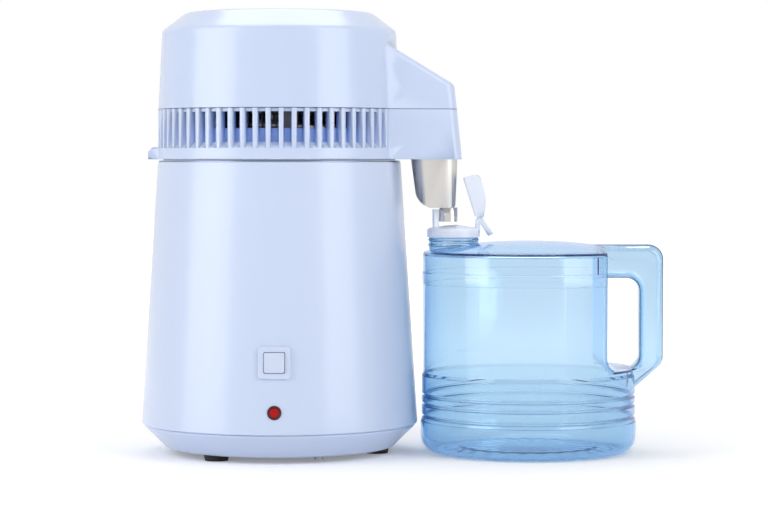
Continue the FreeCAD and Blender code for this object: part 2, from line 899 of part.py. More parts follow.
def mains_inlet():
    outer = inlet_wall * 2
    rim = outer + inlet_flange * 2
    front = -inlet_flange_wall
    deep = inlet_depth + outer
    housing = round_box(inlet_width + outer, inlet_tall + outer, -running_gap, deep, inlet_corner)
    flange = round_box(inlet_width + rim, inlet_tall + rim, front, -front, inlet_corner + inlet_wall)
    mouth = round_box(inlet_width, inlet_tall, front * 2, inlet_depth, inlet_corner)
    mouth = mouth.fuse([inlet_pin(x, z, 0, deep * 2) for x, z in pin_places()])
    inlet = wall_flange(flange, inlet_height, inlet_turn).fuse(on_wall(housing, inlet_height, inlet_turn))
    return [inlet.cut(on_wall(mouth, inlet_height, inlet_turn))]


def pin_places():
    """Places of the three inlet pins, seen from outside."""
    return [(-pin_pitch, -pin_drop), (0, pin_drop), (pin_pitch, -pin_drop)]


def inlet_pin(x, z, low, high):
    """Flat pin at its place, from one depth to another."""
    return block(x - pin_wall / 2, x + pin_wall / 2, low, high, z - pin_height / 2, z + pin_height / 2)


def inlet_pins():
    low = inlet_depth - pin_length
    high = inlet_depth + inlet_wall * 2 + blade_length
    return [on_wall(inlet_pin(x, z, low, high), inlet_height, inlet_turn) for x, z in pin_places()]


def socket_flange_disc(back):
    """Flange of a round socket, its back at a depth."""
    return turned_along_y(socket_radius + socket_flange, -socket_wall, back)


def socket_barrel():
    """Barrel of a two-pin round socket drawn round the origin, its mouth towards -Y."""
    return turned_along_y(socket_radius, -running_gap, socket_depth + socket_wall)


def socket_bore():
    """What is hollow in that socket, with its pin holes."""
    bore = turned_along_y(socket_radius - socket_wall, -socket_wall * 2, socket_depth)
    for side in (-1, 1):
        pin_hole = turned_along_y(plug_pin_radius, 0, socket_depth * 2)
        bore = bore.fuse(moved(pin_hole, side * plug_pin_pitch / 2, 0, 0))
    return bore


def round_socket_pins():
    """The two pins of that socket."""
    pin = turned_along_y(plug_pin_radius, socket_depth - plug_pin_length, socket_depth + socket_wall + 5)
    return [moved(pin, side * plug_pin_pitch / 2, 0, 0) for side in (-1, 1)]


def fan_supply_socket():
    flange = wall_flange(socket_flange_disc(socket_wall), socket_height, socket_turn)
    socket = flange.fuse(on_wall(socket_barrel(), socket_height, socket_turn))
    return [socket.cut(on_wall(socket_bore(), socket_height, socket_turn))]


def fan_supply_pins():
    return [on_wall(pin, socket_height, socket_turn) for pin in round_socket_pins()]


# Head

def spout_nose(height, inset=0.0):
    """Reach of the spout's nose at a height."""
    return spout_reach - (height - head_base_z) * spout_taper - inset


def spout_plan(height, inset):
    """Plan outline of the spout at a height, drawn in by an inset."""
    nose = spout_nose(height, inset)
    slope = (spout_root_half - spout_nose_half) / (spout_reach - head_radius)
    root_half = spout_root_half + slope * (head_radius - spout_root_x) - inset
    nose_half = root_half - slope * (nose - spout_root_x)
    radius = spout_round - inset
    corners = [
        (spout_root_x, -root_half, 0),
        (nose, -nose_half, radius),
        (nose, nose_half, radius),
        (spout_root_x, root_half, 0),
    ]
    wire = outline(corners, flat)
    wire.translate(Vector(0, 0, height))
    return wire


def spout_block(low, high, inset):
    """Solid of the spout between two heights."""
    return Part.makeLoft([spout_plan(low, inset), spout_plan(high, inset)], True, True)


def louvre_ring():
    outer = rim_radius
    inner = rim_radius - head_wall
    ring = turned([
        (inner, head_base_z, 0),
        (outer, head_base_z, 0.8),
        (outer, rim_top_z, 0.8),
        (screen_radius, ledge_top_z, 0),
        (screen_radius, ledge_top_z + screen_height, 0),
        (screen_radius - head_wall, ledge_top_z + screen_height, 0),
        (screen_radius - head_wall, ledge_top_z - head_wall / 2, 0),
        (inner, rim_top_z - head_wall, 0),
    ])
    tie_base_z = dome_base_z - louvre_ring_height
    tie_radius = head_radius - louvre_inset
    tie = tube(tie_radius, tie_radius - louvre_ring_depth, tie_base_z, dome_base_z)
    half = louvre_width / 2
    root_z = rim_top_z - seam_gap / 2
    louvre = block(screen_radius - head_wall / 2, head_radius, -half, half, root_z, dome_base_z)
    spout_half_angle = degrees(asin(spout_root_half / head_radius))
    pitch = 360.0 / louvre_count
    louvres = []
    for index in range(louvre_count):
        angle = (index + 0.5) * pitch
        off_spout = min(angle, 360 - angle)
        off_dock = abs(angle - 90)
        if off_spout > spout_half_angle and off_dock > dock_half_angle:
            louvres.append(spun(louvre, angle))
    ring = ring.fuse([tie] + louvres)
    outside = spout_block(head_base_z, dome_base_z, 0)
    hollow = spout_block(head_base_z + spout_floor, dome_base_z + past, head_wall)
    core = turned([
        (0, 0, 0),
        (inner, 0, 0),
        (inner, rim_top_z - head_wall, 0),
        (screen_radius - head_wall, ledge_top_z - head_wall / 2, 0),
        (screen_radius - head_wall, crown_z, 0),
        (0, crown_z, 0),
    ])
    ring = ring.cut(spout_block(head_base_z, dome_base_z + past, head_wall))
    ring = ring.fuse(outside.cut(hollow).cut(core))
    ring = ring.fuse(grip_tab()).fuse(dock_block())
    lugs = ringed(lid_boss(), lid_screw_count, lid_screw_first_angle)
    ring = ring.fuse(lugs + ringed(head_lug(), head_screw_count, head_screw_first_angle))
    ring = ring.cut(Part.makeCompound(ringed(lid_screw_hole(), lid_screw_count, lid_screw_first_angle)))
    ring = ring.cut(Part.makeCompound(ringed(head_screw_hole(), head_screw_count, head_screw_first_angle)))
    ring = ring.cut(dock_socket_hole())
    return [ring.cut(plate(cup_plan(-sleeve_gap), head_base_z - past, cup_rim_z))]


def grip_tab():
    """Tab on the rim by which the head is lifted, opposite the spout."""
    reach = rim_radius + tab_proud
    top = head_base_z + grip_tab_height
    corners = [
        (-reach, head_base_z, 0.8),
        (-reach, top - grip_tab_bevel, 0.8),
        (-reach + grip_tab_bevel, top, 0.8),
        (-rim_radius + head_wall, top, 0),
        (-rim_radius + head_wall, head_base_z, 0),
    ]
    return slab(corners, grip_tab_width / 2)


def dock_y():
    return rim_radius + dock_proud


def dock_block():
    """Housing of the head's own socket, at the back between the louvres."""
    half = head_radius * sin(radians(dock_half_angle)) + louvre_width / 2
    low = rim_top_z - 1
    solid = block(-half, half, screen_radius - head_wall, dock_y(), low, low + dock_height)
    top = low + dock_height
    inner = half - head_wall
    return solid.cut(block(-inner, inner, 0, dock_y() - head_wall, low + head_wall, top - head_wall))


def on_dock(shape):
    """Puts a shape drawn round the origin, -Y outwards, on the face of the dock."""
    copy = spun(shape, 180)
    copy.translate(Vector(0, dock_y(), rim_top_z - 1 + dock_height / 2))
    return copy


def dock_socket_hole():
    return on_dock(turned_along_y(socket_radius + sleeve_gap, -past, socket_depth + past))


def head_socket():
    socket = socket_flange_disc(-running_gap).fuse(socket_barrel())
    return [on_dock(socket.cut(socket_bore()))]


def head_socket_pins():
    return [on_dock(pin) for pin in round_socket_pins()]


def lid_boss():
    """Boss inside the ring that takes a lid screw."""
    low = lid_flange_z + lid_wall
    return rod(lid_boss_radius, low, low + lid_screw_length + 2, lid_screw_circle_radius, 0)


def lid_screw_hole():
    high = lid_flange_z + lid_screw_length + lid_wall
    return rod(head_screw_radius + screw_gap, lid_flange_z, high, lid_screw_circle_radius)


def lid_screws():
    screw = rod(head_screw_head_radius, lid_flange_z - 1.4, lid_flange_z)
    screw = screw.fuse(rod(head_screw_radius, lid_flange_z, lid_flange_z + lid_screw_length))
    return ringed(moved(screw, lid_screw_circle_radius, 0, 0), lid_screw_count, lid_screw_first_angle)


def head_lug():
    """Ear of the louvre ring's top tie that a head screw passes."""
    low = dome_base_z - louvre_ring_height
    ear = rod(head_screw_radius + boss_wall, low, dome_base_z, head_screw_circle_radius, 0)
    half = head_screw_radius + boss_wall
    reach = head_radius - louvre_inset - louvre_ring_depth / 2
    return ear.fuse(block(head_screw_circle_radius, reach, -half, half, low, dome_base_z))


def head_screw_hole():
    low = dome_base_z - louvre_ring_height
    return rod(head_screw_radius + screw_gap, low, low + head_screw_length, head_screw_circle_radius)


def head_screws():
    low = dome_base_z - louvre_ring_height
    screw = rod(head_screw_head_radius, low - head_screw_head_height, low)
    screw = screw.fuse(rod(head_screw_radius, low, low + head_screw_length))
    return ringed(moved(screw, head_screw_circle_radius, 0, 0), head_screw_count, head_screw_first_angle)


def dome_form(inset):
    """Solid under the dome's skin, drawn in by an inset."""
    low = dome_base_z
    return turned([
        (0, low, 0),
        (head_radius - inset, low, 0),
        (dome_shoulder_radius - inset, shoulder_z - inset * 0.3, bevel_round),
        (bevel_radius - inset * 0.6, bevel_top_z - inset, crown_round),
        (0, crown_z - inset, 0),
    ])


def upper_spout(inset):
    """Upper part of the spout with its sloping roof, drawn in by an inset."""
    form = spout_block(dome_base_z, dome_base_z + dome_height, inset)
    rise = spout_top_root_z - spout_top_nose_z
    run = spout_top_nose_reach - head_radius
    drop = inset * hypot(rise, run) / run
    nose_z = dome_base_z + spout_top_nose_z - drop
    slope = rise / run
    nose_x = spout_top_nose_reach
    near = spout_root_x - past
    far = nose_x + past
    above = dome_base_z + dome_height + beyond
    cutter = slab([
        (near, nose_z + slope * (nose_x - near), 0),
        (far, nose_z - slope * (far - nose_x), 0),
        (far, above, 0),
        (near, above, 0),
    ], beyond)
    form = form.cut(cutter)
    roof = [edge for edge in form.Edges if roof_edge(edge, nose_z, slope)]
    return form.makeFillet(spout_edge_round - inset, roof)


def roof_edge(edge, nose_z, slope):
    """True for an edge round the sloping roof, other than the hidden one at its root."""
    for vertex in edge.Vertexes:
        roof_z = nose_z + slope * (spout_top_nose_reach - vertex.X)
        if abs(vertex.Z - roof_z) > 0.01:
            return False
    return max(vertex.X for vertex in edge.Vertexes) > spout_root_x + 1


def dome_cover():
    skin = dome_form(0).fuse(upper_spout(0))
    skin = skin.cut(dome_form(head_wall).fuse(upper_spout(head_wall)))
    boss_top_z = dome_base_z + head_screw_length
    boss = rod(head_screw_radius + boss_wall, dome_base_z, boss_top_z, head_screw_circle_radius)
    reach = head_radius - head_wall * 0.7
    web = block(head_screw_circle_radius, reach, -head_wall / 2, head_wall / 2, dome_base_z, boss_top_z)
    skin = skin.fuse(ringed(boss.fuse(web), head_screw_count, head_screw_first_angle))
    skin = skin.cut(Part.makeCompound(ringed(head_screw_hole(), head_screw_count, head_screw_first_angle)))
    half = vent_width / 2
    vent = block(vent_inner_radius, vent_outer_radius, -half, half, bevel_top_z - past, crown_z + past)
    return [skin.cut(Part.makeCompound(ringed(vent, vent_count, 0)))]


# Steam lid and condenser

def steam_lid():
    lid = turned([
        (0, lid_top_z - lid_wall, 0),
        (lid_top_radius, lid_top_z - lid_wall, 2.0),
        (lid_slope_radius, lid_flange_z, 2.0),
        (lid_radius, lid_flange_z, 0),
        (lid_radius, lid_flange_z + lid_wall, 0),
        (lid_slope_radius + lid_wall / 2, lid_flange_z + lid_wall, 1.0),
        (lid_top_radius + lid_wall / 2, lid_top_z, 3.0),
        (0, lid_top_z, 0),
    ])
    lid = lid.cut(Part.makeCompound(ringed(lid_screw_hole(), lid_screw_count, lid_screw_first_angle)))
    return [lid.cut(rod(coil_tube_radius - coil_tube_wall, 0, lid_top_z + past, riser_x))]


def lid_gasket():
    outer = lid_radius
    seal = tube(outer, outer - gasket_width, gasket_base_z, lid_flange_z)
    clear = rod(head_screw_head_radius + sleeve_gap, 0, lid_flange_z, lid_screw_circle_radius, 0)
    return [seal.cut(Part.makeCompound(ringed(clear, lid_screw_count, lid_screw_first_angle)))]


def piped(path, radius):
    """Round rod along a wire of straight runs and arcs."""
    runs = []
    for edge in path.Edges:
        start = edge.firstVertex(True).Point
        heading = edge.tangentAt(edge.FirstParameter)
        if edge.Curve.TypeId == "Part::GeomLine":
            runs.append(Part.makeCylinder(radius, edge.Length, start, heading))
            continue
        section = Part.Face(Part.Wire(Part.makeCircle(radius, start, heading)))
        sweep = degrees(edge.LastParameter - edge.FirstParameter)
        runs.append(section.revolve(edge.Curve.Center, edge.Curve.Axis, sweep))
    return runs[0].fuse(runs[1:])


def quarter(start, middle, end):
    return Part.Arc(start, middle, end).toShape()


def riser_path():
    """From the lid up, over and out to the coil's first turn."""
    level = coil_top_z
    bend = riser_bend
    arc = bend * (1 - sqrt(0.5))
    over = riser_x - bend
    top = Vector(over, 0, level)
    turn_end = Vector(*polar(coil_radius, top_angle), level)
    centre = Vector(top_bend_x, -coil_top_bend, level)
    middle_angle = (90 + top_angle + 360) / 2
    middle = centre + Vector(*polar(coil_top_bend, middle_angle), 0)
    return Part.Wire([
        Part.LineSegment(Vector(riser_x, 0, lid_top_z), Vector(riser_x, 0, level - bend)).toShape(),
        quarter(Vector(riser_x, 0, level - bend), Vector(riser_x - arc, 0, level - arc), top),
        Part.LineSegment(top, Vector(top_bend_x, 0, level)).toShape(),
        quarter(Vector(top_bend_x, 0, level), middle, turn_end),
    ])


def drain_path():
    """From the coil's last turn out into the spout and down into the cup."""
    level = coil_base_z
    start = Vector(*polar(coil_radius, drain_angle), level)
    centre = Vector(*polar(coil_radius + coil_drain_bend, drain_angle), level)
    out = Vector(centre.x, 0, level)
    middle_angle = (180 + drain_angle + 90) / 2
    middle = centre + Vector(*polar(coil_drain_bend, middle_angle), 0)
    arc = drain_bend * (1 - sqrt(0.5))
    down = Vector(drain_x, 0, level - drain_bend)
    return Part.Wire([
        quarter(start, middle, out),
        Part.LineSegment(out, Vector(drain_x - drain_bend, 0, level)).toShape(),
        quarter(Vector(drain_x - drain_bend, 0, level), Vector(drain_x - arc, 0, level - arc), down),
        Part.LineSegment(down, Vector(drain_x, 0, head_base_z - drain_end_rise)).toShape(),
    ])


def condenser_coil():
    runs = ceil(coil_turns * coil_runs_per_turn)
    sweep = coil_turns / runs
    helix = Part.Wire(Part.makeHelix(coil_pitch, sweep * coil_pitch, coil_radius, 0, True))
    section = Part.Wire(Part.makeCircle(coil_tube_radius, Vector(coil_radius, 0, 0), Vector(0, 1, 0)))
    run = helix.makePipeShell([section], True, True)
    turns = []
    for index in range(runs):
        share = index * sweep
        turns.append(moved(spun(run, drain_angle - share * 360), 0, 0, coil_base_z + share * coil_pitch))
    ends = [piped(riser_path(), coil_tube_radius), piped(drain_path(), coil_tube_radius)]
    return [turns[0].fuse(turns[1:] + ends)]


def coil_levels(angle):
    """Heights at which the coil passes an angle, counted in degrees about the machine's axis."""
    first = (drain_angle - angle) % 360.0
    levels = []
    while first <= coil_turns * 360.0:
        levels.append(coil_base_z + first / 360.0 * coil_pitch)
        first += 360.0
    return levels


def near_post(angle):
    """True where a fin would foul one of the coil's posts or the tubes to and from the coil."""
    taken = [post_first_angle + index * 360.0 / post_count for index in range(post_count)]
    taken += [drain_angle, drain_angle + fin_pitch_angle]
    taken += [top_angle - step * fin_pitch_angle for step in range(4)]
    return any(abs((angle - other + 180) % 360 - 180) < fin_pitch_angle for other in taken)


def condenser_fins():
    low = coil_base_z - coil_tube_radius - fin_margin
    high = coil_top_z + coil_tube_radius
    fins = []
    for index in range(int(360 / fin_pitch_angle)):
        angle = index * fin_pitch_angle
        if near_post(angle):
            continue
        fin = block(fin_inner_radius, fin_outer_radius, -fin_wall / 2, fin_wall / 2, low, high)
        for level in coil_levels(angle):
            hole = turned_along_y(coil_tube_radius + sleeve_gap, -past, past)
            fin = fin.cut(moved(hole, coil_radius, 0, level))
        fins.append(spun(fin, angle))
    return fins


def coil_posts():
    """Strips that stand on the steam lid, hold the coil and carry the fan's plate."""
    outer = post_radius + post_wall
    half = post_width / 2
    post = block(post_radius, outer, -half, half, lid_top_z, fan_plate_z)
    foot = block(post_radius, outer + post_foot, -half, half, lid_top_z, lid_top_z + post_wall / 2)
    head = block(post_radius - post_foot, outer, -half, half, fan_plate_z - post_wall / 2, fan_plate_z)
    return ringed(post.fuse([foot, head]), post_count, post_first_angle)


def riser_collar():
    """Fitting that seals the riser to the steam lid."""
    outer = coil_tube_radius + collar_wall
    collar = tube(outer, coil_tube_radius, lid_top_z, lid_top_z + collar_height, riser_x)
    flange = tube(outer + collar_wall, coil_tube_radius, lid_top_z, lid_top_z + collar_wall / 2, riser_x)
    return [collar.fuse(flange)]


# Fan

def fan_plate():
    """Spider over the coil that the motor stands on."""
    reach = post_radius + post_wall
    low = fan_plate_z
    half = fan_plate_arm / 2
    spider = rod(fan_plate_hub_radius + motor_ear_radius, low, motor_z)
    arm = block(0, reach, -half, half, low, motor_z)
    spider = spider.fuse(ringed(arm, post_count, post_first_angle))
    hole = moved(rod(motor_screw_radius + screw_gap, 0, motor_z + past), motor_screw_circle_radius, 0, 0)
    return [spider.cut(Part.makeCompound(ringed(hole, 3, post_first_angle)))]


def fan_motor():
    top = motor_z + motor_height
    motor = turned([
        (0, motor_z, 0),
        (motor_radius, motor_z, 1.0),
        (motor_radius, top, 3.0),
        (0, top, 0),
    ])
    ear_top_z = motor_z + motor_ear_height
    ear = rod(motor_ear_radius, motor_z, ear_top_z, motor_screw_circle_radius)
    motor = motor.fuse(ringed(ear, 3, post_first_angle))
    hole = rod(motor_screw_radius + screw_gap, motor_z, ear_top_z, motor_screw_circle_radius)
    motor = motor.cut(Part.makeCompound(ringed(hole, 3, post_first_angle)))
    return [motor.cut(rod(shaft_radius + running_gap, shaft_base_z - 0.5, top + 1))]


def motor_screws():
    low = motor_z + motor_ear_height
    head = rod(motor_screw_radius * 2, low, low + motor_screw_radius * 1.2)
    screw = head.fuse(rod(motor_screw_radius, fan_plate_z - 2, low))
    return ringed(moved(screw, motor_screw_circle_radius, 0, 0), 3, post_first_angle)


def fan_shaft():
    return [rod(shaft_radius, shaft_base_z, shaft_base_z + shaft_length)]


def fan_blades():
    rotor = turned([
        (shaft_radius, hub_z, 0),
        (hub_radius, hub_z, 0),
        (hub_radius, hub_z + hub_height, 2.5),
        (shaft_radius, hub_z + hub_height, 0),
    ])
    middle = hub_z + hub_height / 2
    half = fan_blade_wall / 2
    vane = block(hub_radius * 0.85, blade_reach, -blade_chord / 2, blade_chord / 2, -half, half)
    vane.rotate(Vector(0, 0, 0), Vector(1, 0, 0), blade_angle)
    vane = moved(vane, 0, 0, middle).common(rod(blade_reach, hub_z - past, hub_z + hub_height + past))
    return [rotor.fuse(ringed(vane, blade_count, 0))]


# Outlet cup

def cup_plan(inset):
    """Plan outline of the cup, drawn in by an inset."""
    half = cup_half_width - inset
    radius = cup_corner - inset
    left = cup_left_x + inset
    right = cup_right_x - inset
    return [(left, -half, radius), (right, -half, radius), (right, half, radius), (left, half, radius)]


def cup_form(inset, base):
    """Pressed cup, drawn in by an inset, from a base height to its rim."""
    left = cup_left_x + inset
    right = cup_right_x - inset
    drift = (head_base_z - base) * cup_taper
    front = slab([
        (left, cup_rim_z, 0),
        (left, head_base_z, 0),
        (left + drift * 3, base, cup_heel - inset),
        (right - drift, base, max(cup_toe - inset, 0.5)),
        (right, head_base_z, 0),
        (right, cup_rim_z, 0),
    ], cup_half_width - inset)
    return front.common(plate(cup_plan(inset), base, cup_rim_z))


def cup_rim_plan():
    """Plan outline of the rim by which the cup hangs in the spout's floor."""
    left = cup_left_x - cup_flange
    half = cup_half_width + cup_flange
    right = cup_right_x
    radius = cup_corner
    return [(left, -half, radius), (right, -half, radius), (right, half, radius), (left, half, radius)]


def filter_cup():
    rim = plate(cup_rim_plan(), cup_rim_z - cup_wall, cup_rim_z)
    cup = cup_form(0, cup_base_z).fuse(rim).cut(cup_form(cup_wall, cup_base_z + cup_wall))
    bore = rod(spigot_radius, cup_base_z - past, cup_base_z + past, spigot_x)
    return [cup.cut(bore)]


def cup_gasket():
    seal = plate(cup_rim_plan(), cup_seat_z, cup_rim_z - cup_wall)
    return [seal.cut(plate(cup_plan(-sleeve_gap), cup_seat_z - past, cup_rim_z))]


def carbon_filter():
    """Porous sachet of carbon granules lying in the cup."""
    low = cup_base_z + cup_wall
    form = cup_form(cup_wall + filter_gap, low)
    return [form.common(plate(cup_plan(0), low, low + filter_height))]


def outlet_nozzle():
    """Wide pipe under the cup, with a spigot that sits in the hole of the cup's floor."""
    pipe = rod(nozzle_radius, nozzle_end_z, cup_base_z, nozzle_x)
    pipe = pipe.cut(rod(nozzle_radius - nozzle_wall, nozzle_end_z, cup_base_z - nozzle_wall, nozzle_x))
    pipe = pipe.fuse(rod(spigot_radius, cup_base_z, cup_base_z + cup_wall, spigot_x))
    return [pipe.cut(rod(spigot_radius - nozzle_wall, nozzle_end_z, cup_base_z + past, spigot_x))]


# Jug

def jug_barrel(inset):
    """Round body of the jug about its own axis, drawn in by an inset."""
    low = jug_low_radius - inset
    middle = jug_middle_radius - inset
    high = jug_high_radius - inset
    band = jug_band_radius - inset
    ring_radius = low - jug_base_round - jug_ring_flat
    corners = [
        (0, jug_push_up + inset, 0),
        (ring_radius - jug_ring_width, jug_push_up + inset, jug_ring_round),
        (ring_radius, inset, jug_ring_round),
        (low, inset, jug_base_round - inset),
        (low, jug_foot_z - jug_foot_rise, 0),
        (middle, jug_foot_z, 0),
    ]
    for groove_z in sorted(jug_groove_zs):
        corners += [
            (middle, groove_z - jug_groove_half, 0),
            (middle - jug_groove_depth, groove_z, 0),
            (middle, groove_z + jug_groove_half, 0),
        ]
    corners += [
        (middle, jug_step_z, 0),
        (high, jug_step_z + jug_step_rise, 0),
        (high, jug_band_low_z, 0),
        (band, jug_band_low_z + jug_band_rise, 0),
        (band, jug_band_high_z - jug_band_rise, 0),
        (high, jug_band_high_z, 0),
        (high, jug_height - inset, jug_top_round - inset / 2),
        (jug_crown_middle_radius, jug_height + jug_crown_middle_rise - inset, jug_crown_round),
        (jug_crown_top_radius, jug_height + jug_crown - inset, jug_crown_round),
        (0, jug_height + jug_crown - inset, 0),
    ]
    return turned(corners)


def jug_grip(inset):
    """Handle block that joins the barrel above and below, drawn in by an inset."""
    reach = grip_reach - inset
    top = jug_height + grip_top_rise - inset
    corners = [
        (grip_root_reach, top, 0),
        (reach, top, grip_round - inset),
        (reach, grip_low_z, grip_round - inset),
        (grip_foot_reach, grip_foot_z + inset, grip_round / 2),
        (grip_root_reach, grip_foot_z + inset, 0),
    ]
    block_form = slab(corners, grip_half_width - inset)
    rounded = [edge for edge in block_form.Edges if grip_edge(edge, inset)]
    return block_form.makeFillet(grip_edge_round - inset, rounded)


def grip_edge(edge, inset):
    """True for the long edges round the handle's outer face."""
    side = grip_half_width - inset
    on_side = all(abs(abs(vertex.Y) - side) < 0.01 for vertex in edge.Vertexes)
    same_side = edge.Vertexes[0].Y * edge.Vertexes[-1].Y > 0
    return on_side and same_side and max(vertex.X for vertex in edge.Vertexes) > grip_root_reach + 1


def grip_recess(inset):
    """Flat recess in the barrel's side that makes room for the fingers, grown by an inset."""
    high = neck_top_z + past
    corners = [
        (hole_inner_reach - inset, hole_low_z - inset, hole_round + inset),
        (grip_reach, hole_low_z - inset, 0),
        (grip_reach, high, 0),
        (hole_inner_reach - inset, high, 0),
    ]
    return slab(corners, jug_low_radius + grip_round)


def grip_hole(inset):
    """Finger gap between the handle and the barrel, grown by an inset."""
    radius = hole_round + inset
    corners = [
        (hole_inner_reach - inset, hole_low_z - inset, radius),
        (hole_outer_reach + inset, hole_low_z - inset, radius),
        (hole_outer_reach + inset, hole_top_z + inset, radius),
        (hole_inner_reach - inset, hole_top_z + inset, radius),
    ]
    return slab(corners, jug_low_radius + grip_round)


def jug_form(inset):
    """Whole outer form of the jug below its neck, drawn in by an inset."""
    return jug_barrel(inset).cut(grip_recess(inset)).fuse(jug_grip(inset)).cut(grip_hole(inset))


def jug_shell():
    """Whole blow-moulded jug about its own axis."""
    jug = jug_form(0)
    offset = neck_x - jug_x
    neck = rod(neck_radius, jug_height - jug_wall, neck_top_z, offset, 0)
    for drop in neck_thread_drops:
        low = neck_top_z - drop - neck_thread_height / 2
        neck = neck.fuse(rod(neck_radius + neck_thread_proud, low, low + neck_thread_height, offset, 0))
    jug = jug.fuse(neck).cut(jug_form(jug_wall))
    return jug.cut(rod(neck_radius - neck_wall, jug_height - past, neck_top_z + past, offset))


def grip_side():
    """Space of the jug's handle end, just beyond the finger gap's inner wall and above the barrel's foot."""
    near = hole_inner_reach + grip_split_shift
    high = neck_top_z + past
    return block(near, grip_reach + past, -beyond, beyond, grip_foot_z - grip_split_drop, high)


def shoulder_side():
    """Space of the jug's top with its neck."""
    high = neck_top_z + past
    return block(-beyond, grip_reach + past, -beyond, beyond, jug_height - shoulder_split_drop, high)


def jug_body():
    return [moved(jug_shell().cut(grip_side()).cut(shoulder_side()), jug_x, 0, 0)]


def jug_shoulder():
    return [moved(jug_shell().common(shoulder_side()).cut(grip_side()), jug_x, 0, 0)]


def jug_handle():
    return [moved(jug_shell().common(grip_side()), jug_x, 0, 0)]


def cap_liner():
    low = neck_top_z
    return [tube(neck_radius, neck_radius - neck_wall, low, low + liner_height, neck_x)]


def on_hinge(radius, low, high):
    """Cylinder on the axis of the cap's hinge."""
    return moved(turned_along_y(radius, low, high), hinge_x, 0, hinge_z)


def jug_cap():
    roof_z = neck_top_z + liner_height
    inner = neck_radius + neck_thread_proud + sleeve_gap
    cap = turned([
        (inner, cap_skirt_z, 0),
        (cap_radius, cap_skirt_z, 0.5),
        (cap_radius, cap_shoulder_z, cap_round),
        (0, cap_shoulder_z + cap_dome, 0),
        (0, roof_z, 0),
        (inner, roof_z, 0),
    ])
    cap = moved(cap, neck_x, 0, 0)
    ears = []
    for side in (-1, 1):
        low_y = side * (knuckle_half_width + seat_gap)
        high_y = low_y + side * hinge_ear_wall
        ear = on_hinge(hinge_ear_radius, min(low_y, high_y), max(low_y, high_y))
        stem = block(
            hinge_x - hinge_ear_radius,
            hinge_x + hinge_ear_radius / 2,
            min(low_y, high_y),
            max(low_y, high_y),
            roof_z + liner_height,
            hinge_z,
        )
        ears += [ear, stem]
    cap = cap.fuse(ears)
    lip_inner = pour_hole_radius
    lip = tube(lip_inner + lip_wall, lip_inner, cap_shoulder_z, lip_top_z, nozzle_x)
    lip = lip.common(lip_wedge())
    cap = cap.fuse(lip)
    cap = cap.cut(on_hinge(hinge_pin_radius, -beyond, beyond))
    return [cap.cut(rod(pour_hole_radius, 0, cap_shoulder_z + past, nozzle_x))]


def lip_wedge():
    """Sector of the pour hole's rim that the lip stands on, away from the hinge."""
    near = nozzle_radius + seat_gap
    far = pour_hole_radius + lip_wall + past
    slope = tan(radians(lip_half_angle))
    corners = [
        (nozzle_x - near, near * slope, 0),
        (nozzle_x - far, far * slope, 0),
        (nozzle_x - far, -far * slope, 0),
        (nozzle_x - near, -near * slope, 0),
    ]
    return plate(corners, cap_skirt_z, lip_top_z)


def hinge_pin():
    half = knuckle_half_width + seat_gap + hinge_ear_wall
    return [on_hinge(hinge_pin_radius, -half, half)]


def cap_flap():
    """Hooded flap shown standing open, with its knuckle and thumb lever."""
    outer = [
        (hinge_x - hinge_ear_radius, flap_foot_z, 0),
        (flap_tip_x, flap_tip_z, 1.0),
        (flap_top_x, flap_top_z, flap_round),
        (flap_back_x, flap_back_z, flap_round * 4),
        (flap_heel_x, flap_foot_z, 0),
    ]
    hood = slab(outer, flap_half_width)
    wall = flap_wall
    inner = [
        (hinge_x - hinge_ear_radius - flap_mouth, flap_foot_z + wall, 0),
        (flap_tip_x - flap_mouth + wall, flap_tip_z - wall * 0.8, 0),
        (flap_tip_x + wall, flap_tip_z - wall * 0.8, 0),
        (flap_top_x - wall * 0.6, flap_top_z - wall, flap_round - wall),
        (flap_back_x - wall, flap_back_z, flap_round * 4 - wall),
        (flap_heel_x - wall, flap_foot_z + wall, 0),
    ]
    hood = hood.cut(slab(inner, flap_half_width - wall))
    knuckle = on_hinge(hinge_ear_radius, -knuckle_half_width, knuckle_half_width)
    web = slab([
        (hinge_x - 1.2, hinge_z, 0),
        (hinge_x - 1.2, flap_foot_z + wall / 2, 0),
        (flap_heel_x - 0.4, flap_foot_z + wall / 2, 0),
        (flap_heel_x - 0.4, hinge_z, 0),
    ], knuckle_half_width)
    lever = slab([
        (hinge_x, hinge_z + 1.5, 0),
        (flap_heel_x, flap_heel_z, 0),
        (lever_end_x + lever_wall * 0.3, lever_end_z + lever_wall * 0.5, 1.6),
        (lever_end_x - lever_wall * 0.7, lever_end_z, 1.6),
        (hinge_x + 1.5, hinge_z - 1.5, 0),
    ], lever_half_width)
    flap = hood.fuse([knuckle, web, lever])
    return [flap.cut(on_hinge(hinge_pin_radius + running_gap, -beyond, beyond))]


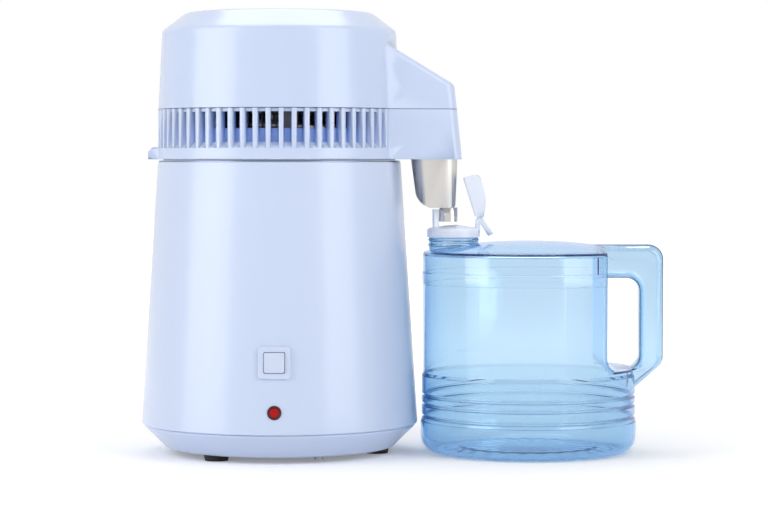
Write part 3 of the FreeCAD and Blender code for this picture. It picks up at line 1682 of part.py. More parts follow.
nodes = {
    "rubber_feet": rubber_feet,
    "foot_screws": foot_screws,
    "base_pan": base_pan,
    "base_screws": base_screws,
    "outer_body": outer_body,
    "boiler_pot": boiler_pot,
    "heater_plate": heater_plate,
    "heating_element": heating_element,
    "heater_straps": heater_straps,
    "heater_studs": heater_studs,
    "heater_nuts": heater_nuts,
    "heat_shield": heat_shield,
    "shield_spacers": shield_spacers,
    "thermal_cutout": thermal_cutout,
    "cutout_bracket": cutout_bracket,
    "switch_bezel": switch_bezel,
    "switch_button": switch_button,
    "switch_body": switch_body,
    "switch_spring": switch_spring,
    "lamp_ring": lamp_ring,
    "lamp_lens": lamp_lens,
    "mains_inlet": mains_inlet,
    "inlet_pins": inlet_pins,
    "fan_supply_socket": fan_supply_socket,
    "fan_supply_pins": fan_supply_pins,
    "louvre_ring": louvre_ring,
    "dome_cover": dome_cover,
    "head_screws": head_screws,
    "head_socket": head_socket,
    "head_socket_pins": head_socket_pins,
    "steam_lid": steam_lid,
    "lid_gasket": lid_gasket,
    "lid_screws": lid_screws,
    "condenser_coil": condenser_coil,
    "condenser_fins": condenser_fins,
    "coil_posts": coil_posts,
    "riser_collar": riser_collar,
    "fan_plate": fan_plate,
    "fan_motor": fan_motor,
    "motor_screws": motor_screws,
    "fan_shaft": fan_shaft,
    "fan_blades": fan_blades,
    "filter_cup": filter_cup,
    "cup_gasket": cup_gasket,
    "carbon_filter": carbon_filter,
    "outlet_nozzle": outlet_nozzle,
    "jug_body": jug_body,
    "jug_shoulder": jug_shoulder,
    "jug_handle": jug_handle,
    "cap_liner": cap_liner,
    "jug_cap": jug_cap,
    "hinge_pin": hinge_pin,
    "cap_flap": cap_flap,
}

os.makedirs("parts", exist_ok=True)
for name, make in nodes.items():
    solids = [solid for shape in make() for solid in shape.Solids]
    whole = solids[0] if len(solids) == 1 else Part.makeCompound(solids)
    whole = moved(whole, *to_frame)
    whole.exportStep(f"parts/{name}.step")
    print(name, len(solids), whole.isValid(), round(whole.Volume / 1000, 2))
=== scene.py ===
import json
import math

import bmesh
import bpy
import numpy as np
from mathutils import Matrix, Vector


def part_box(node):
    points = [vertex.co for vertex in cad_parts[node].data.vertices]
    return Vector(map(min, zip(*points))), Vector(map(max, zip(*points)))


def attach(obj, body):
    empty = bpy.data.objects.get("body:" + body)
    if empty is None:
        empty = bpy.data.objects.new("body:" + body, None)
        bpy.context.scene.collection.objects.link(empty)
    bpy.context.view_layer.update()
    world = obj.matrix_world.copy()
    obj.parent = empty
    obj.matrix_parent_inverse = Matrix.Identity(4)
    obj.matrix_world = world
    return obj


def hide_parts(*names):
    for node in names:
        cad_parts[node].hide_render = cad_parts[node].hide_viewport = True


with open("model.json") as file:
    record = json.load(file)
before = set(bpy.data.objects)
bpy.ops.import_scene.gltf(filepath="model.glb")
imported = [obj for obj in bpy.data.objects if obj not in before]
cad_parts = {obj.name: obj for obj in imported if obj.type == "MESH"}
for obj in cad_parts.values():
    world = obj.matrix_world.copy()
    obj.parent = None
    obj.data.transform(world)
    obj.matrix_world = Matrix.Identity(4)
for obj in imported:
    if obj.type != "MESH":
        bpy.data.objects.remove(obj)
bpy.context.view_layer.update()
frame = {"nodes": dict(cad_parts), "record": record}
mm = 0.001
machineX = -0.10145  # metres, the machine's upright axis from the middle of the whole object
print("frame loaded:", len(frame["nodes"]), "nodes")


# sRGB hex to linear light, the curve of the standard: a straight foot, then a power of 2.4
def linearColour(hexCode):
    parts = np.array([int(hexCode[i:i + 2], 16) for i in (1, 3, 5)]) / 255
    linear = np.where(parts <= 0.04045, parts / 12.92, ((parts + 0.055) / 1.055) ** 2.4)
    return (*linear.tolist(), 1.0)


# Adds a node: settings are its own values or its sockets' by name or number, links are (socket, source) pairs
def addNode(tree, kind, settings=None, links=()):
    node = tree.nodes.new("ShaderNode" + kind)
    for name, value in (settings or {}).items():
        if isinstance(name, int) or name in node.inputs:
            node.inputs[name].default_value = value
        else:
            setattr(node, name, value)
    for socket, source in links:
        tree.links.new(source, node.inputs[socket])
    return node


# Empty material with its node tree
def newMaterial(name):
    material = bpy.data.materials.new(name)
    material.use_nodes = True
    material.node_tree.nodes.clear()
    return material, material.node_tree


# Camera, level with the head and looking a little down
camera = {
    "place": (-14.85, -2200.0, 245.0),  # mm
    "pitch": 2.14,  # degrees down
    "lens": 124.31,  # focal length, mm
}
view = bpy.data.objects.new("camera", bpy.data.cameras.new("camera"))
bpy.context.collection.objects.link(view)
view.location = Vector(camera["place"]) * mm
view.rotation_euler = (math.radians(90 - camera["pitch"]), 0, 0)
view.data.lens = camera["lens"]
bpy.context.scene.camera = view
bpy.context.scene.view_settings.view_transform = "Standard"

# Studio: white all round. Only clear plastic sees blue walls at the sides, which draw its edges in deep blue
studio = {
    "backWall": "#ffffff", "sideWall": "#2766c8",
    "sideTurn": 0.55, "backTurn": 0.93,  # how straight to front or back a ray runs where each wall is pure
    "fill": 0.6, "mirrored": 0.86, "white": 1.0,  # strength for the light, for mirrors and for the eye
    "floor": "#f6f6f7", "floorCorner": (-6, -3), "floorFarCorner": (6, 8),  # metres
    "glowFrom": 0.25, "glowTo": 1.3,  # metres from the object over which the floor brightens
    "glow": (0.21, 0.6), "clearGlow": (0.2, 0.42),  # near and far, for the eye and for glass and mirrors
}
plainWhite = (1, 1, 1, 1)

world = bpy.data.worlds.new("studio")
bpy.context.scene.world = world
world.use_nodes = True
worldTree = world.node_tree
worldTree.nodes.clear()
worldRays = addNode(worldTree, "LightPath").outputs
heading = addNode(worldTree, "SeparateXYZ", {}, [(0, addNode(worldTree, "TexCoord").outputs["Generated"])])
frontToBack = addNode(worldTree, "Math", {"operation": "ABSOLUTE"}, [(0, heading.outputs["Y"])])
backShare = addNode(worldTree, "MapRange", {
    "interpolation_type": "SMOOTHSTEP", "From Min": studio["sideTurn"], "From Max": studio["backTurn"],
}, [("Value", frontToBack.outputs[0])])
wall = addNode(worldTree, "MixRGB", {
    "Color1": linearColour(studio["sideWall"]), "Color2": linearColour(studio["backWall"]),
}, [("Fac", backShare.outputs[0])])
layer = addNode(worldTree, "Background", {"Color": plainWhite, "Strength": studio["fill"]}).outputs[0]
for kind, strength, walls in (
    ("Transmission", "white", [("Color", wall.outputs[0])]),
    ("Glossy", "mirrored", []),
    ("Camera", "white", []),
):
    seen = addNode(worldTree, "Background", {"Color": plainWhite, "Strength": studio[strength]}, walls)
    layer = addNode(worldTree, "MixShader", {}, [
        (0, worldRays["Is " + kind + " Ray"]), (1, layer), (2, seen.outputs[0]),
    ]).outputs[0]
addNode(worldTree, "OutputWorld", {}, [("Surface", layer)])

(left, front), (right, back) = studio["floorCorner"], studio["floorFarCorner"]
floorCorners = [(left, front, 0), (right, front, 0), (right, back, 0), (left, back, 0)]
floorMesh = bpy.data.meshes.new("floor")
floorMesh.from_pydata(floorCorners, [], [(0, 1, 2, 3)])
floor = bpy.data.objects.new("floor", floorMesh)
bpy.context.collection.objects.link(floor)
floorMaterial, floorTree = newMaterial("painted studio floor")
floorRays = addNode(floorTree, "LightPath").outputs
floorPlace = addNode(floorTree, "TexCoord").outputs["Object"]
away = addNode(floorTree, "VectorMath", {"operation": "LENGTH"}, [(0, floorPlace)])
lifts = []
for kind, glow in (("Camera", "glow"), ("Transmission", "clearGlow"), ("Glossy", "clearGlow")):
    near, far = studio[glow]
    rise = addNode(floorTree, "MapRange", {
        "From Min": studio["glowFrom"], "From Max": studio["glowTo"], "To Min": near, "To Max": far,
    }, [("Value", away.outputs["Value"])])
    lifts.append(addNode(floorTree, "Math", {"operation": "MULTIPLY"}, [
        (0, rise.outputs[0]), (1, floorRays["Is " + kind + " Ray"]),
    ]).outputs[0])
lift = lifts[0]
for other in lifts[1:]:
    lift = addNode(floorTree, "Math", {"operation": "MAXIMUM"}, [(0, lift), (1, other)]).outputs[0]
paint = addNode(floorTree, "BsdfDiffuse", {"Color": linearColour(studio["floor"])})
lit = addNode(floorTree, "Emission", {"Color": plainWhite}, [("Strength", lift)])
both = addNode(floorTree, "AddShader", {}, [(0, paint.outputs[0]), (1, lit.outputs[0])])
addNode(floorTree, "OutputMaterial", {}, [("Surface", both.outputs[0])])
floorMesh.materials.append(floorMaterial)

# Softboxes, in metres from the foot of the machine's axis. The bands are only mirrored, the others only light
softboxes = {
    # name: place, point it faces, width and height, radiance
    "left softbox": ((-1.42, -0.93, 0.75), (0, 0, 0.2), (0.75, 1.5), 2.7),
    "right softbox": ((1.27, -1.13, 0.75), (0, 0, 0.2), (0.75, 1.5), 2.45),
    "top softbox": ((0, 0.45, 1.7), (0, 0.45, 0), (1.26, 1.3), 1.2),
    "left band": ((-1.46, -0.77, 0.75), (0, 0, 0.2), (1.4, 1.7), 2.2),
    "right band": ((1.36, -0.93, 0.75), (0, 0, 0.2), (1.0, 1.7), 2.0),
    "top band": ((0, 0.5, 1.69), (0, 0.5, 0), (1.26, 1.4), 2.4),
}


# Area light of a given radiance: its power is pi times its area times that
def softbox(name, place, aim, size, radiance):
    light = bpy.data.lights.new(name, "AREA")
    light.shape = "RECTANGLE"
    light.size, light.size_y = size
    light.energy = math.pi * size[0] * size[1] * radiance
    lamp = bpy.data.objects.new(name, light)
    bpy.context.collection.objects.link(lamp)
    lamp.location = (machineX + place[0], place[1], place[2])
    lamp.rotation_euler = (Vector(aim) - Vector(place)).to_track_quat("-Z", "Y").to_euler()
    lamp.visible_glossy = name.endswith("band")
    lamp.visible_diffuse = not lamp.visible_glossy


for name, values in softboxes.items():
    softbox(name, *values)
print("stage set")


# Relief of a surface and, where rough is given, its roughness, as links. A noise with grains of the given
# sizes along x, y and z raises the relief by strength times depth, over edges rounded by edgeRadius for the
# light alone, and moves the roughness between its two values. Lengths are in mm
def grain(tree, sizes, strength, depth, rough=None, edgeRadius=0.0, detail=3.0):
    scale = tuple(1 / (size * mm) for size in sizes)
    place = addNode(tree, "TexCoord").outputs["Object"]
    pattern = addNode(tree, "Mapping", {"Scale": scale}, [("Vector", place)])
    noise = addNode(tree, "TexNoise", {"Scale": 1.0, "Detail": detail}, [("Vector", pattern.outputs[0])])
    grains = noise.outputs[0]
    bump = addNode(tree, "Bump", {"Strength": strength, "Distance": depth * mm}, [("Height", grains)])
    if edgeRadius:
        edge = addNode(tree, "Bevel", {"samples": 4, "Radius": edgeRadius * mm})
        tree.links.new(edge.outputs[0], bump.inputs["Normal"])
    links = [("Normal", bump.outputs[0])]
    if rough:
        spread = addNode(tree, "MapRange", {"To Min": rough[0], "To Max": rough[1]}, [("Value", grains)])
        links.append(("Roughness", spread.outputs[0]))
    return links


# Ends a material in one Principled surface
def surface(tree, settings, links):
    shader = addNode(tree, "BsdfPrincipled", settings, links)
    return addNode(tree, "OutputMaterial", {}, [("Surface", shader.outputs[0])])


# Distance of a point from the machine's axis: the length of its way there with z left out
def axisReach(tree):
    place = addNode(tree, "TexCoord").outputs["Object"]
    level = addNode(tree, "VectorMath", {"operation": "MULTIPLY", 1: (1, 1, 0)}, [(0, place)]).outputs[0]
    reach = addNode(tree, "VectorMath", {"operation": "DISTANCE", 1: (machineX, 0, 0)}, [(0, level)])
    return reach.outputs["Value"]


casing = {"skin": "#cddaf4", "coat": 0.5, "coatRough": 0.16, "rough": (0.26, 0.34), "peel": 3.0}  # peel in mm


# Powder-coated steel sheet: a smooth pale blue skin with the faint orange peel of a baked coat
def powderCoat():
    material, tree = newMaterial("powder-coated steel")
    surface(tree, {
        "Base Color": linearColour(casing["skin"]), "Coat Weight": casing["coat"],
        "Coat Roughness": casing["coatRough"],
    }, grain(tree, (casing["peel"],) * 3, strength=0.05, depth=0.05, rough=casing["rough"]))
    return material


head = {
    "skin": "#cbd9f5", "rough": (0.22, 0.28), "edgeRadius": 1.2,  # lengths in mm
    "seam": "#6f7f9f", "seamWidth": 0.7,
    # the deeper blue is a painted shade for the walls behind the louvres, with its two reaches and two heights
    "deep": "#84a5e6", "deepFrom": 96.8, "deepTo": 93.5, "deepLow": 256.5, "deepHigh": 284.0,
}
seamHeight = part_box("dome_cover")[0].z


# Colour over the head. The seam between its two mouldings is a thin dark line, within half its width of its
# height. Behind the louvres the walls are painted a deeper blue, a painted shade for the light they throw on
# each other: it comes in as the distance from the axis falls from the shade's outer reach to its inner one,
# between two heights
def headSkinAndShade(tree):
    height = addNode(tree, "SeparateXYZ", {}, [(0, addNode(tree, "TexCoord").outputs["Object"])]).outputs["Z"]
    seam = addNode(tree, "Math", {"operation": "COMPARE", 1: seamHeight, 2: head["seamWidth"] / 2 * mm},
                   [(0, height)])
    inside = addNode(tree, "MapRange", {"From Min": head["deepFrom"] * mm, "From Max": head["deepTo"] * mm},
                     [("Value", axisReach(tree))])
    middle = (head["deepHigh"] + head["deepLow"]) / 2 * mm
    half = (head["deepHigh"] - head["deepLow"]) / 2 * mm
    level = addNode(tree, "Math", {"operation": "COMPARE", 1: middle, 2: half}, [(0, height)])
    # mask of the painted shade: the walls behind the louvres, within the two heights
    recess = addNode(tree, "Math", {"operation": "MULTIPLY"}, [(0, inside.outputs[0]), (1, level.outputs[0])])
    skin = addNode(tree, "MixRGB", {
        "Color1": linearColour(head["skin"]), "Color2": linearColour(head["deep"]),
    }, [("Fac", recess.outputs[0])])
    return addNode(tree, "MixRGB", {"Color2": linearColour(head["seam"])},
                   [("Fac", seam.outputs[0]), ("Color1", skin.outputs[0])]).outputs[0]


# Injection-moulded ABS: glossy, with softly rounded edges that catch a light line
def mouldedAbs(name, colour, rough, edgeRadius, drawn=None):
    material, tree = newMaterial(name)
    links = grain(tree, (6.0, 6.0, 6.0), strength=0.03, depth=0.05, rough=rough, edgeRadius=edgeRadius)
    if drawn:
        links.append(("Base Color", drawn(tree)))
    surface(tree, {"Base Color": linearColour(colour), "Coat Weight": 0.4, "Coat Roughness": 0.12}, links)
    return material


pet = {
    "skin": "#fcfeff", "rough": 0.015, "ior": 1.5, "tint": "#5cbfe0", "density": 180.0,
    # painted glow: the blue emission's colour and its strength face on and at the edges
    "paintedGlowColour": "#1c78d0", "paintedGlow": 0.03, "paintedEdgeGlow": 0.3,
    "wave": (30.0, 30.0, 80.0), "waveDepth": 0.3,  # mm
}


# Blow-moulded clear PET: tinted through, with a wall that waves a little from place to place. It has a painted
# glow in blue, an emission that lightens its edges: faint face on, it rises towards the edges as the cube of
# how far the surface turns away
def blownPet():
    material, tree = newMaterial("blow-moulded clear blue PET")
    turned = addNode(tree, "LayerWeight", {"Blend": 0.5}).outputs["Facing"]
    cube = addNode(tree, "Math", {"operation": "POWER", 1: 3.0}, [(0, turned)])
    paintedGlow = addNode(tree, "MapRange", {"To Min": pet["paintedGlow"], "To Max": pet["paintedEdgeGlow"]},
                   [("Value", cube.outputs[0])])
    links = grain(tree, pet["wave"], strength=0.05, depth=pet["waveDepth"], detail=1.0)
    output = surface(tree, {
        "Base Color": linearColour(pet["skin"]), "Roughness": pet["rough"], "Transmission Weight": 1.0,
        "IOR": pet["ior"], "Emission Color": linearColour(pet["paintedGlowColour"]),
    }, links + [("Emission Strength", paintedGlow.outputs[0])])
    tint = addNode(tree, "VolumeAbsorption", {"Color": linearColour(pet["tint"]), "Density": pet["density"]})
    tree.links.new(tint.outputs[0], output.inputs["Volume"])
    return material


cap = {
    "skin": "#f0f5ff", "rough": (0.28, 0.4), "edgeRadius": 0.3,  # mm
    # the glow is a painted glow: an even emission standing in for light shining through
    "clear": 0.05, "ior": 1.4, "coat": 0.4, "glow": "#d6e4ff", "paintedGlowStrength": 0.1,
}


# Moulded polypropylene: milky, with a faint even painted glow, an emission standing in for the light from
# behind that shines through it
def mouldedPp():
    material, tree = newMaterial("moulded translucent PP")
    links = grain(tree, (4.0, 4.0, 4.0), strength=0.06, depth=0.05, rough=cap["rough"],
                  edgeRadius=cap["edgeRadius"])
    surface(tree, {
        "Base Color": linearColour(cap["skin"]), "Transmission Weight": cap["clear"], "IOR": cap["ior"],
        "Coat Weight": cap["coat"], "Emission Color": linearColour(cap["glow"]),
        "Emission Strength": cap["paintedGlowStrength"],
    }, links)
    return material


# Metal, plated, drawn or bare: its fine lines run along the longest of its grain sizes
def metal(name, colour, rough, sizes, strength):
    material, tree = newMaterial(name)
    links = grain(tree, sizes, strength, depth=0.03, rough=rough)
    surface(tree, {"Base Color": linearColour(colour), "Metallic": 1.0}, links)
    return material


pot = {
    "skin": "#c4c5c8", "rough": (0.25, 0.4), "rings": (30.0, 30.0, 0.6),  # mm
    # painted shade: the dull blue-grey of the flange's edge, and how wide that edge is
    "edge": "#8792ae", "rimShadeWidth": 1.5,
}
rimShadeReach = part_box("boiler_pot")[1].x - machineX - pot["rimShadeWidth"] * mm


# Spun steel of the boiler: bright inside with level spinning rings. Painted shade: the flange's edge, all that
# lies within the edge width of the flange's outer reach, is painted a dull blue-grey for the dark gap under the
# head
def spunSteel():
    material, tree = newMaterial("spun stainless steel")
    edge = addNode(tree, "Math", {"operation": "GREATER_THAN", 1: rimShadeReach}, [(0, axisReach(tree))])
    skin = addNode(tree, "MixRGB", {"Color1": linearColour(pot["skin"]), "Color2": linearColour(pot["edge"])},
                   [("Fac", edge.outputs[0])])
    links = grain(tree, pot["rings"], strength=0.15, depth=0.03, rough=pot["rough"])
    surface(tree, {"Metallic": 1.0}, links + [("Base Color", skin.outputs[0])])
    return material


# Dull or glossy moulding, or fabric, with an even grain of one size
def moulding(name, colour, rough, size, strength):
    material, tree = newMaterial(name)
    links = grain(tree, (size,) * 3, strength, depth=0.1, rough=rough)
    surface(tree, {"Base Color": linearColour(colour)}, links)
    return material


lens = {"skin": "#b80508", "rough": (0.15, 0.3), "clear": 0.1, "specular": 0.2, "ring": "#4a0f18"}


# Red acrylic over a neon lamp: clear, deep red, with a glossy face
def redAcrylic():
    material, tree = newMaterial("moulded red acrylic")
    surface(tree, {
        "Base Color": linearColour(lens["skin"]), "Transmission Weight": lens["clear"],
        "Specular IOR Level": lens["specular"],
    }, grain(tree, (1.5, 1.5, 1.5), strength=0.15, depth=0.1, rough=lens["rough"]))
    return material


# Finishes by material slot: name, colour, low and high roughness, grain in mm, strength of the relief. The
# cup's draw lines stand upright and the straps' run level, heat has blotched the element's sheath, the fins'
# rolled sheet is painted dark blue-grey as a painted shade inside the head, and nylon and phenolic keep a soft
# gloss beside dull rubber
finishes = {
    "casing_paint": powderCoat(),
    # the head's ABS carries the painted shade behind its louvres
    "casing_plastic": mouldedAbs("moulded ABS", head["skin"], head["rough"], head["edgeRadius"], headSkinAndShade),
    "jug_plastic": blownPet(),
    "cap_plastic": mouldedPp(),
    "cup_steel": metal("drawn stainless steel", "#cfccc8", (0.26, 0.38), (0.6, 0.6, 25.0), 0.12),
    "pot_steel": spunSteel(),
    "element_steel": metal("oxidised element sheath", "#6d675f", (0.45, 0.7), (2.0, 2.0, 2.0), 0.3),
    "strap_steel": metal("zinc-plated strap", "#7b8088", (0.35, 0.5), (0.8, 12.0, 0.8), 0.1),
    "screw_steel": metal("zinc-plated screws", "#8f9298", (0.25, 0.4), (0.5, 0.5, 0.5), 0.1),
    "motor_steel": metal("pressed motor can", "#a9adb2", (0.3, 0.45), (1.0, 1.0, 6.0), 0.1),
    # painted shade: the fins are coloured dark for the shade inside the head
    "plate_aluminium": metal("rolled aluminium in painted shade", "#525a68", (0.4, 0.6), (1.2, 1.2, 9.0), 0.2),
    "fan_plastic": moulding("moulded black nylon", "#2b2d31", (0.35, 0.5), 3.0, 0.1),
    "brass": metal("turned brass", "#c9a45a", (0.25, 0.4), (0.4, 0.4, 4.0), 0.1),
    "black_plastic": moulding("moulded black phenolic", "#1b1c1f", (0.3, 0.45), 2.0, 0.1),
    "lamp_red": redAcrylic(),
    "rubber": moulding("moulded black rubber", "#191919", (0.6, 0.8), 1.2, 0.3),
    "silicone": moulding("moulded silicone", "#dfe3e8", (0.45, 0.6), 2.0, 0.1),
    "filter_fabric": moulding("non-woven filter fabric", "#e8e6df", (0.85, 0.95), 0.8, 0.8),  # fuzzy
}
switch = {"skin": "#d0dbf3", "rough": (0.2, 0.26), "edgeRadius": 0.3}  # mm
crispAbs = mouldedAbs("moulded ABS of the switch", switch["skin"], switch["rough"], switch["edgeRadius"])
ownFinishes = {
    "switch_bezel": crispAbs,
    "switch_button": crispAbs,
    "lamp_ring": moulding("moulded dark red ABS", lens["ring"], (0.3, 0.4), 2.0, 0.1),
    "outlet_nozzle": metal("polished stainless steel", "#d9d7d5", (0.04, 0.1), (0.4, 0.4, 8.0), 0.06),
}
slotOf = {name: piece.data.materials[0].name.split(".")[0] for name, piece in frame["nodes"].items()}
for name, piece in frame["nodes"].items():
    piece.data.materials[0] = finishes[slotOf[name]]
print("finishes set")

# Body that each CAD node belongs to
bodyOf = {node: body for body, nodes in frame["record"]["behaviour"]["bodies"].items() for node in nodes}


# Puts a mesh into the scene on a body, in place of CAD nodes. Edges sharper than crease degrees stay crisp
def addPiece(name, mesh, finishName, nodes, crease):
    mesh.shade_smooth()
    mesh.set_sharp_from_angle(angle=math.radians(crease))
    mesh.materials.clear()
    mesh.materials.append(finishes[finishName])
    piece = bpy.data.objects.new(name, mesh)
    bpy.context.collection.objects.link(piece)
    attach(piece, bodyOf[nodes[0]])
    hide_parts(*nodes)
    return piece


# Curved nodes whose shape is kept while their triangles are joined up, so that light runs smoothly over them
smoothed = {
    "nodes": ("outer_body", "base_pan", "louvre_ring", "dome_cover", "switch_bezel", "switch_button",
              "lamp_ring", "lamp_lens", "filter_cup", "outlet_nozzle", "jug_cap", "cap_flap", "fan_blades",
              "rubber_feet", "mains_inlet", "fan_supply_socket", "head_socket", "condenser_coil",
              "steam_lid"),
    "near": 0.002,  # mm, points as near as this are one
    "crease": 32.0,  # degrees
    "flatWeight": 90,
}


# Copy of a CAD node's mesh with its doubles joined, shaded smooth while its large faces stay flat
def joinedCopy(node):
    mesh = frame["nodes"][node].data.copy()
    weld = bmesh.new()
    weld.from_mesh(mesh)
    bmesh.ops.remove_doubles(weld, verts=weld.verts, dist=smoothed["near"] * mm)
    weld.to_mesh(mesh)
    weld.free()
    piece = addPiece(node + "_skin", mesh, slotOf[node], [node], smoothed["crease"])
    flatten = piece.modifiers.new("large faces stay flat", "WEIGHTED_NORMAL")
    flatten.keep_sharp = True
    flatten.weight = smoothed["flatWeight"]
    return piece


for node in smoothed["nodes"]:
    copied = joinedCopy(node)
    if node in ownFinishes:
        copied.data.materials[0] = ownFinishes[node]
print("casing, head, cup and cap joined:", len(smoothed["nodes"]), "pieces")


# Points of a line through (a, b, radius) corners, each rounded by steps points on a tangent arc
def roundedLine(corners, steps):
    points = []
    for index, (a, b, radius) in enumerate(corners):
        here = np.array((a, b), float)
        if radius <= 0 or index in (0, len(corners) - 1):
            points.append(here[None])
            continue
        before = np.array(corners[index - 1][:2]) - here
        after = np.array(corners[index + 1][:2]) - here
        before = before / np.linalg.norm(before)
        after = after / np.linalg.norm(after)
        half = np.arccos(np.clip(before @ after, -1, 1)) / 2
        middle = before + after
        centre = here + middle / max(np.linalg.norm(middle), 1e-9) * radius / np.sin(half)
        start = here + before * radius / np.tan(half) - centre
        end = here + after * radius / np.tan(half) - centre
        share = np.linspace(0, 1, steps)[:, None]
        turn = math.pi - 2 * half
        arc = (np.sin((1 - share) * turn) * start + np.sin(share * turn) * end) / max(math.sin(turn), 1e-9)
        points.append(centre + arc)
    return np.concatenate(points)


# Closed mesh of a grid of rows by columns, the columns running round, each end row closed by one face
def closedTube(name, grid):
    rows, columns = grid.shape[:2]
    corner = np.arange(rows * columns).reshape(rows, columns)
    beside = np.roll(corner, -1, axis=1)
    quads = np.stack((corner[:-1], beside[:-1], beside[1:], corner[1:]), axis=-1).reshape(-1, 4)
    faces = quads.tolist() + [corner[0][::-1].tolist(), corner[-1].tolist()]
    mesh = bpy.data.meshes.new(name)
    mesh.from_pydata((grid.reshape(-1, 3) * mm).tolist(), [], faces)
    mesh.validate()
    return mesh


# Smaller of two lengths, with the corner between them rounded over a few times softness
def softMin(a, b, softness):
    low = np.minimum(a, b)
    return low - softness * np.log(np.exp((low - a) / softness) + np.exp((low - b) / softness))


jug = {"axis": 104.95, "crease": 50.0, "solver": "MANIFOLD"}  # axis in mm from the middle of the whole object

# Barrel, in mm. Its radii first, then the wall and what is let into it, from the foot up
barrel = {
    "low": 89.5, "middle": 88.7, "high": 87.5, "band": 88.1, "height": 166.8, "columns": 144, "bendRows": 5,
    "wall": 2.0, "lowerWall": 1.45,  # up to the upper step the wall is so many times as thick
    "floor": 3.0, "ringWidth": 19.0, "ringSlope": 12.0, "ringRound": 3.0, "footRound": 14.0,
    "flutes": 24, "fluteRise": 0.8, "fluteFrom": 48.0, "fluteTo": 70.0, "fluteTop": 5.0,
    "fluteRows": (21, 18, 15),  # rows of points that the flutes need, this far inside the standing ring
    "footStep": (26.5, 28.5), "footStepRound": (1.5, 1.0),
    "grooves": (31.0, 40.9, 48.4), "grooveDepth": 1.5, "grooveHalf": 1.7,
    "grooveLip": 0.7, "grooveRound": 0.9,
    "upperStep": (64.0, 67.0), "upperStepRound": 1.5,
    "bandFrom": 139.5, "bandTo": 150.5, "bandSlope": 1.2, "bandRound": 0.8,
    "rimRound": 3.0, "rimLean": (3.5, 0.6), "crown": 8.8, "crownPower": 2.2, "crownRows": 14, "pole": 0.5,
    "recess": 61.0, "ledge": 70.5, "ledgeLip": 1.0, "ledgeRound": 11.0, "ledgeRows": 10, "edgeSoftness": 1.3,
}


# Barrel: its profile carried round the axis, then cut flat beside the handle by the smaller of x and the
# recess. Its foot is fluted: between two radii it rises by a cosine of the angle under a sine-squared window.
# The inset moves every wall inwards, for the hollow
def barrelMesh(inset):
    b = barrel
    low, middle = (b[key] - inset * b["lowerWall"] for key in ("low", "middle"))
    high, band = (b[key] - inset for key in ("high", "band"))
    bottom, top, peak = b["floor"] + inset, b["height"] - inset, b["height"] + b["crown"] - inset
    ring = low - b["ringWidth"]
    corners = [(b["pole"], bottom, 0)] + [(ring - row, bottom, 0) for row in b["fluteRows"]]
    corners += [(ring - b["ringSlope"], bottom, b["ringRound"]), (ring, inset, b["ringRound"]),
                (low, inset, b["footRound"] - inset)]
    corners += zip((low, middle), b["footStep"], b["footStepRound"])
    for z in b["grooves"]:
        corners += [(middle, z - b["grooveHalf"], b["grooveLip"]),
                    (middle - b["grooveDepth"], z, b["grooveRound"]),
                    (middle, z + b["grooveHalf"], b["grooveLip"])]
    corners += [(radius, z, b["upperStepRound"]) for radius, z in zip((middle, high), b["upperStep"])]
    ledge, lip, bend = b["ledge"] - inset, b["ledgeLip"], b["ledgeRound"] + inset
    corners += [(high, ledge - drop, 0) for drop in (lip, 0.3 * lip, 0)]
    corners += [(high, ledge + 0.001 + rise, 0) for rise in np.linspace(0, bend, b["ledgeRows"])]
    corners += [(high, b["bandFrom"], b["bandRound"]), (band, b["bandFrom"] + b["bandSlope"], b["bandRound"]),
                (band, b["bandTo"] - b["bandSlope"], b["bandRound"]), (high, b["bandTo"], b["bandRound"])]
    corners += [(high, top, b["rimRound"] - inset / 2), (high - b["rimLean"][0], top + b["rimLean"][1], 0)]
    profile = roundedLine(corners, b["bendRows"])[:-1]  # the last corner only sets the rim's lean
    rim = profile[-1]
    share = np.linspace(0, 1, b["crownRows"] + 2)[1:-1]
    domeRise = (peak - rim[1]) * (1 - (1 - share) ** b["crownPower"])
    dome = np.stack((rim[0] * (1 - share), rim[1] + domeRise), axis=1)
    profile = np.concatenate((profile, dome, [[b["pole"], peak]]))

    radius, z = profile[:, :1], profile[:, 1:]
    turn = np.linspace(0, 2 * math.pi, b["columns"], endpoint=False)[None]
    x, y = radius * np.cos(turn), radius * np.sin(turn)
    under = np.clip(ledge + bend - z, 0, bend)
    wall = b["recess"] - inset + bend - np.sqrt(bend**2 - under**2)
    edge = high - lip + lip * np.sqrt(1 - np.clip((z - ledge + lip) / lip, 0, 1) ** 2)
    limit = np.where(z < ledge - lip, np.inf, np.where(z <= ledge, edge, wall))
    x = softMin(x, limit, b["edgeSoftness"])
    window = np.clip((radius - b["fluteFrom"]) / (b["fluteTo"] - b["fluteFrom"]), 0, 1)
    flute = b["fluteRise"] * np.sin(math.pi * window) ** 2 * (0.5 + 0.5 * np.cos(b["flutes"] * turn))
    height = z + np.where(z < b["fluteTop"] + inset, flute, 0)
    grid = np.stack((x + jug["axis"], y, np.broadcast_to(height, x.shape)), axis=-1)
    return closedTube("barrel", grid)


# Handle, in mm, its reaches from the barrel's axis
handle = {
    "root": 50.0, "reach": 111.0, "top": 172.6, "low": 75.0, "round": 12.0,
    "foot": 47.8, "footReach": 80.0, "footRound": 8.0,
    "gapReach": 91.4, "gapTop": 145.0, "gapLow": 70.0, "gapRound": 11.0,
    "gapFootReach": 72.0, "gapFootRound": 0.5, "gapFootDrop": 0.02,
    "half": 17.0, "edge": 7.5, "bendRows": 12, "edgeColumns": 8,
}


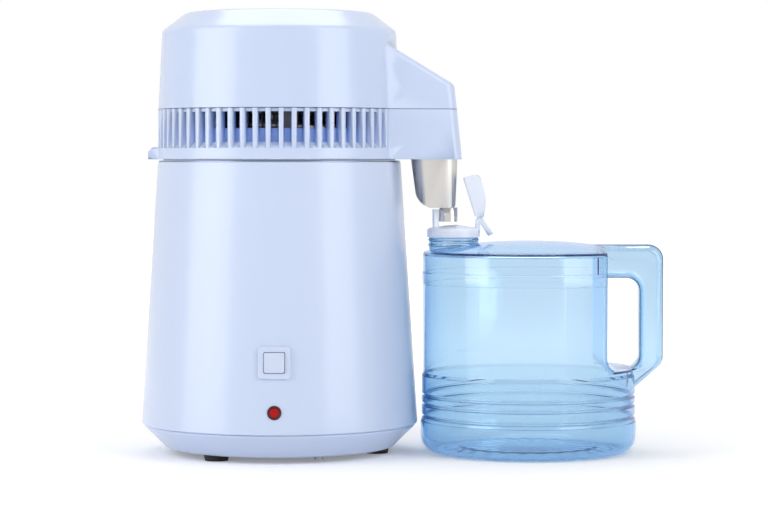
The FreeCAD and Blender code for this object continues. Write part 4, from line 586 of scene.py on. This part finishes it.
# Handle: a rounded rectangle between the outer line and the finger gap's line, carried from root to foot.
# Both lines have as many points, so the gap's foot has a corner too, made by a drop too small to see
def handleMesh(inset):
    h = handle
    reach, top, foot, outerRound = h["reach"] - inset, h["top"] - inset, h["foot"] + inset, h["round"] - inset
    outer = roundedLine([(h["root"], top, 0), (reach, top, outerRound), (reach, h["low"], outerRound),
                         (h["footReach"], foot, h["footRound"]), (h["root"], foot, 0)], h["bendRows"])
    gap, gapRound = h["gapReach"] + inset, h["gapRound"] + inset
    gapTop, gapLow = h["gapTop"] + inset, h["gapLow"] - inset
    inner = roundedLine([(h["root"], gapTop, 0), (gap, gapTop, gapRound), (gap, gapLow, gapRound),
                         (h["gapFootReach"], gapLow - h["gapFootDrop"], h["gapFootRound"]),
                         (h["root"], gapLow, 0)], h["bendRows"])
    across = outer - inner
    half = np.linalg.norm(across, axis=1, keepdims=True) / 2
    centre = (outer + inner) / 2
    edge = h["edge"] - inset
    quarters = np.arange(4) * math.pi / 2
    turn = np.concatenate([np.linspace(start, start + math.pi / 2, h["edgeColumns"]) for start in quarters])
    lean = np.repeat(quarters + math.pi / 4, h["edgeColumns"])
    out = np.sign(np.cos(lean)) * (half - edge) + edge * np.cos(turn)
    side = -np.sign(np.sin(lean)) * (h["half"] - inset - edge) - edge * np.sin(turn)
    place = centre[:, None] + (across / half / 2)[:, None] * out[..., None]
    grid = np.stack((place[..., 0] + jug["axis"], np.broadcast_to(side, out.shape), place[..., 1]), axis=-1)
    return closedTube("handle", grid)


# Threaded neck, in mm, its axis reach behind the barrel's
neck = {
    "reach": 62.1, "radius": 20.4, "wall": 2.2, "from": 165.0, "top": 181.5, "columns": 96,
    "ridges": (172.1, 176.3), "proud": 0.9, "ridgeFoot": 1.2, "ridgeTop": 0.6,
    "ridgeRound": 0.4, "ridgeRows": 4,
    "boreFrom": 160.0, "boreTo": 190.0,
}


# Round post about the neck's axis through (radius, z) points
def neckPost(name, profile):
    turn = np.linspace(0, 2 * math.pi, neck["columns"], endpoint=False)[None]
    radius, z = profile[:, :1], profile[:, 1:]
    x = jug["axis"] - neck["reach"] + radius * np.cos(turn)
    grid = np.stack((x, radius * np.sin(turn), np.broadcast_to(z, x.shape)), axis=-1)
    return closedTube(name, grid)


# Neck: a straight post that steps out to each ridge and back, every corner rounded
def neckMesh():
    n = neck
    radius, crest, soft = n["radius"], n["radius"] + n["proud"], n["ridgeRound"]
    corners = [(radius, n["from"], 0)]
    for z in n["ridges"]:
        corners += [(radius, z - n["ridgeFoot"], soft), (crest, z - n["ridgeTop"], soft),
                    (crest, z + n["ridgeTop"], soft), (radius, z + n["ridgeFoot"], soft)]
    return neckPost("neck", roundedLine(corners + [(radius, n["top"], 0)], n["ridgeRows"]))


# Bore: the straight hole down the neck, a wall's thickness inside it
def boreMesh():
    radius = neck["radius"] - neck["wall"]
    return neckPost("bore", np.array([[radius, neck["boreFrom"]], [radius, neck["boreTo"]]]))


# Joins and cuts closed meshes: the first one gets each (operation, mesh) in turn
def carved(first, steps):
    base = bpy.data.objects.new("blank", first)
    bpy.context.collection.objects.link(base)
    tools = []
    for operation, mesh in steps:
        tool = bpy.data.objects.new("tool", mesh)
        bpy.context.collection.objects.link(tool)
        cut = base.modifiers.new(operation, "BOOLEAN")
        cut.operation, cut.object, cut.solver = operation, tool, jug["solver"]
        tools.append(tool)
    ready = base.evaluated_get(bpy.context.evaluated_depsgraph_get())
    result = bpy.data.meshes.new_from_object(ready)
    for spare in [base] + tools:
        bpy.data.objects.remove(spare)
    return result


jugMesh = carved(barrelMesh(0), [
    ("UNION", handleMesh(0)), ("UNION", neckMesh()), ("DIFFERENCE", barrelMesh(barrel["wall"])),
    ("DIFFERENCE", handleMesh(barrel["wall"])), ("DIFFERENCE", boreMesh()),
])
addPiece("jug", jugMesh, "jug_plastic", ["jug_body", "jug_shoulder", "jug_handle"], jug["crease"])
print("jug blown:", len(jugMesh.polygons), "faces")

bpy.context.view_layer.update()
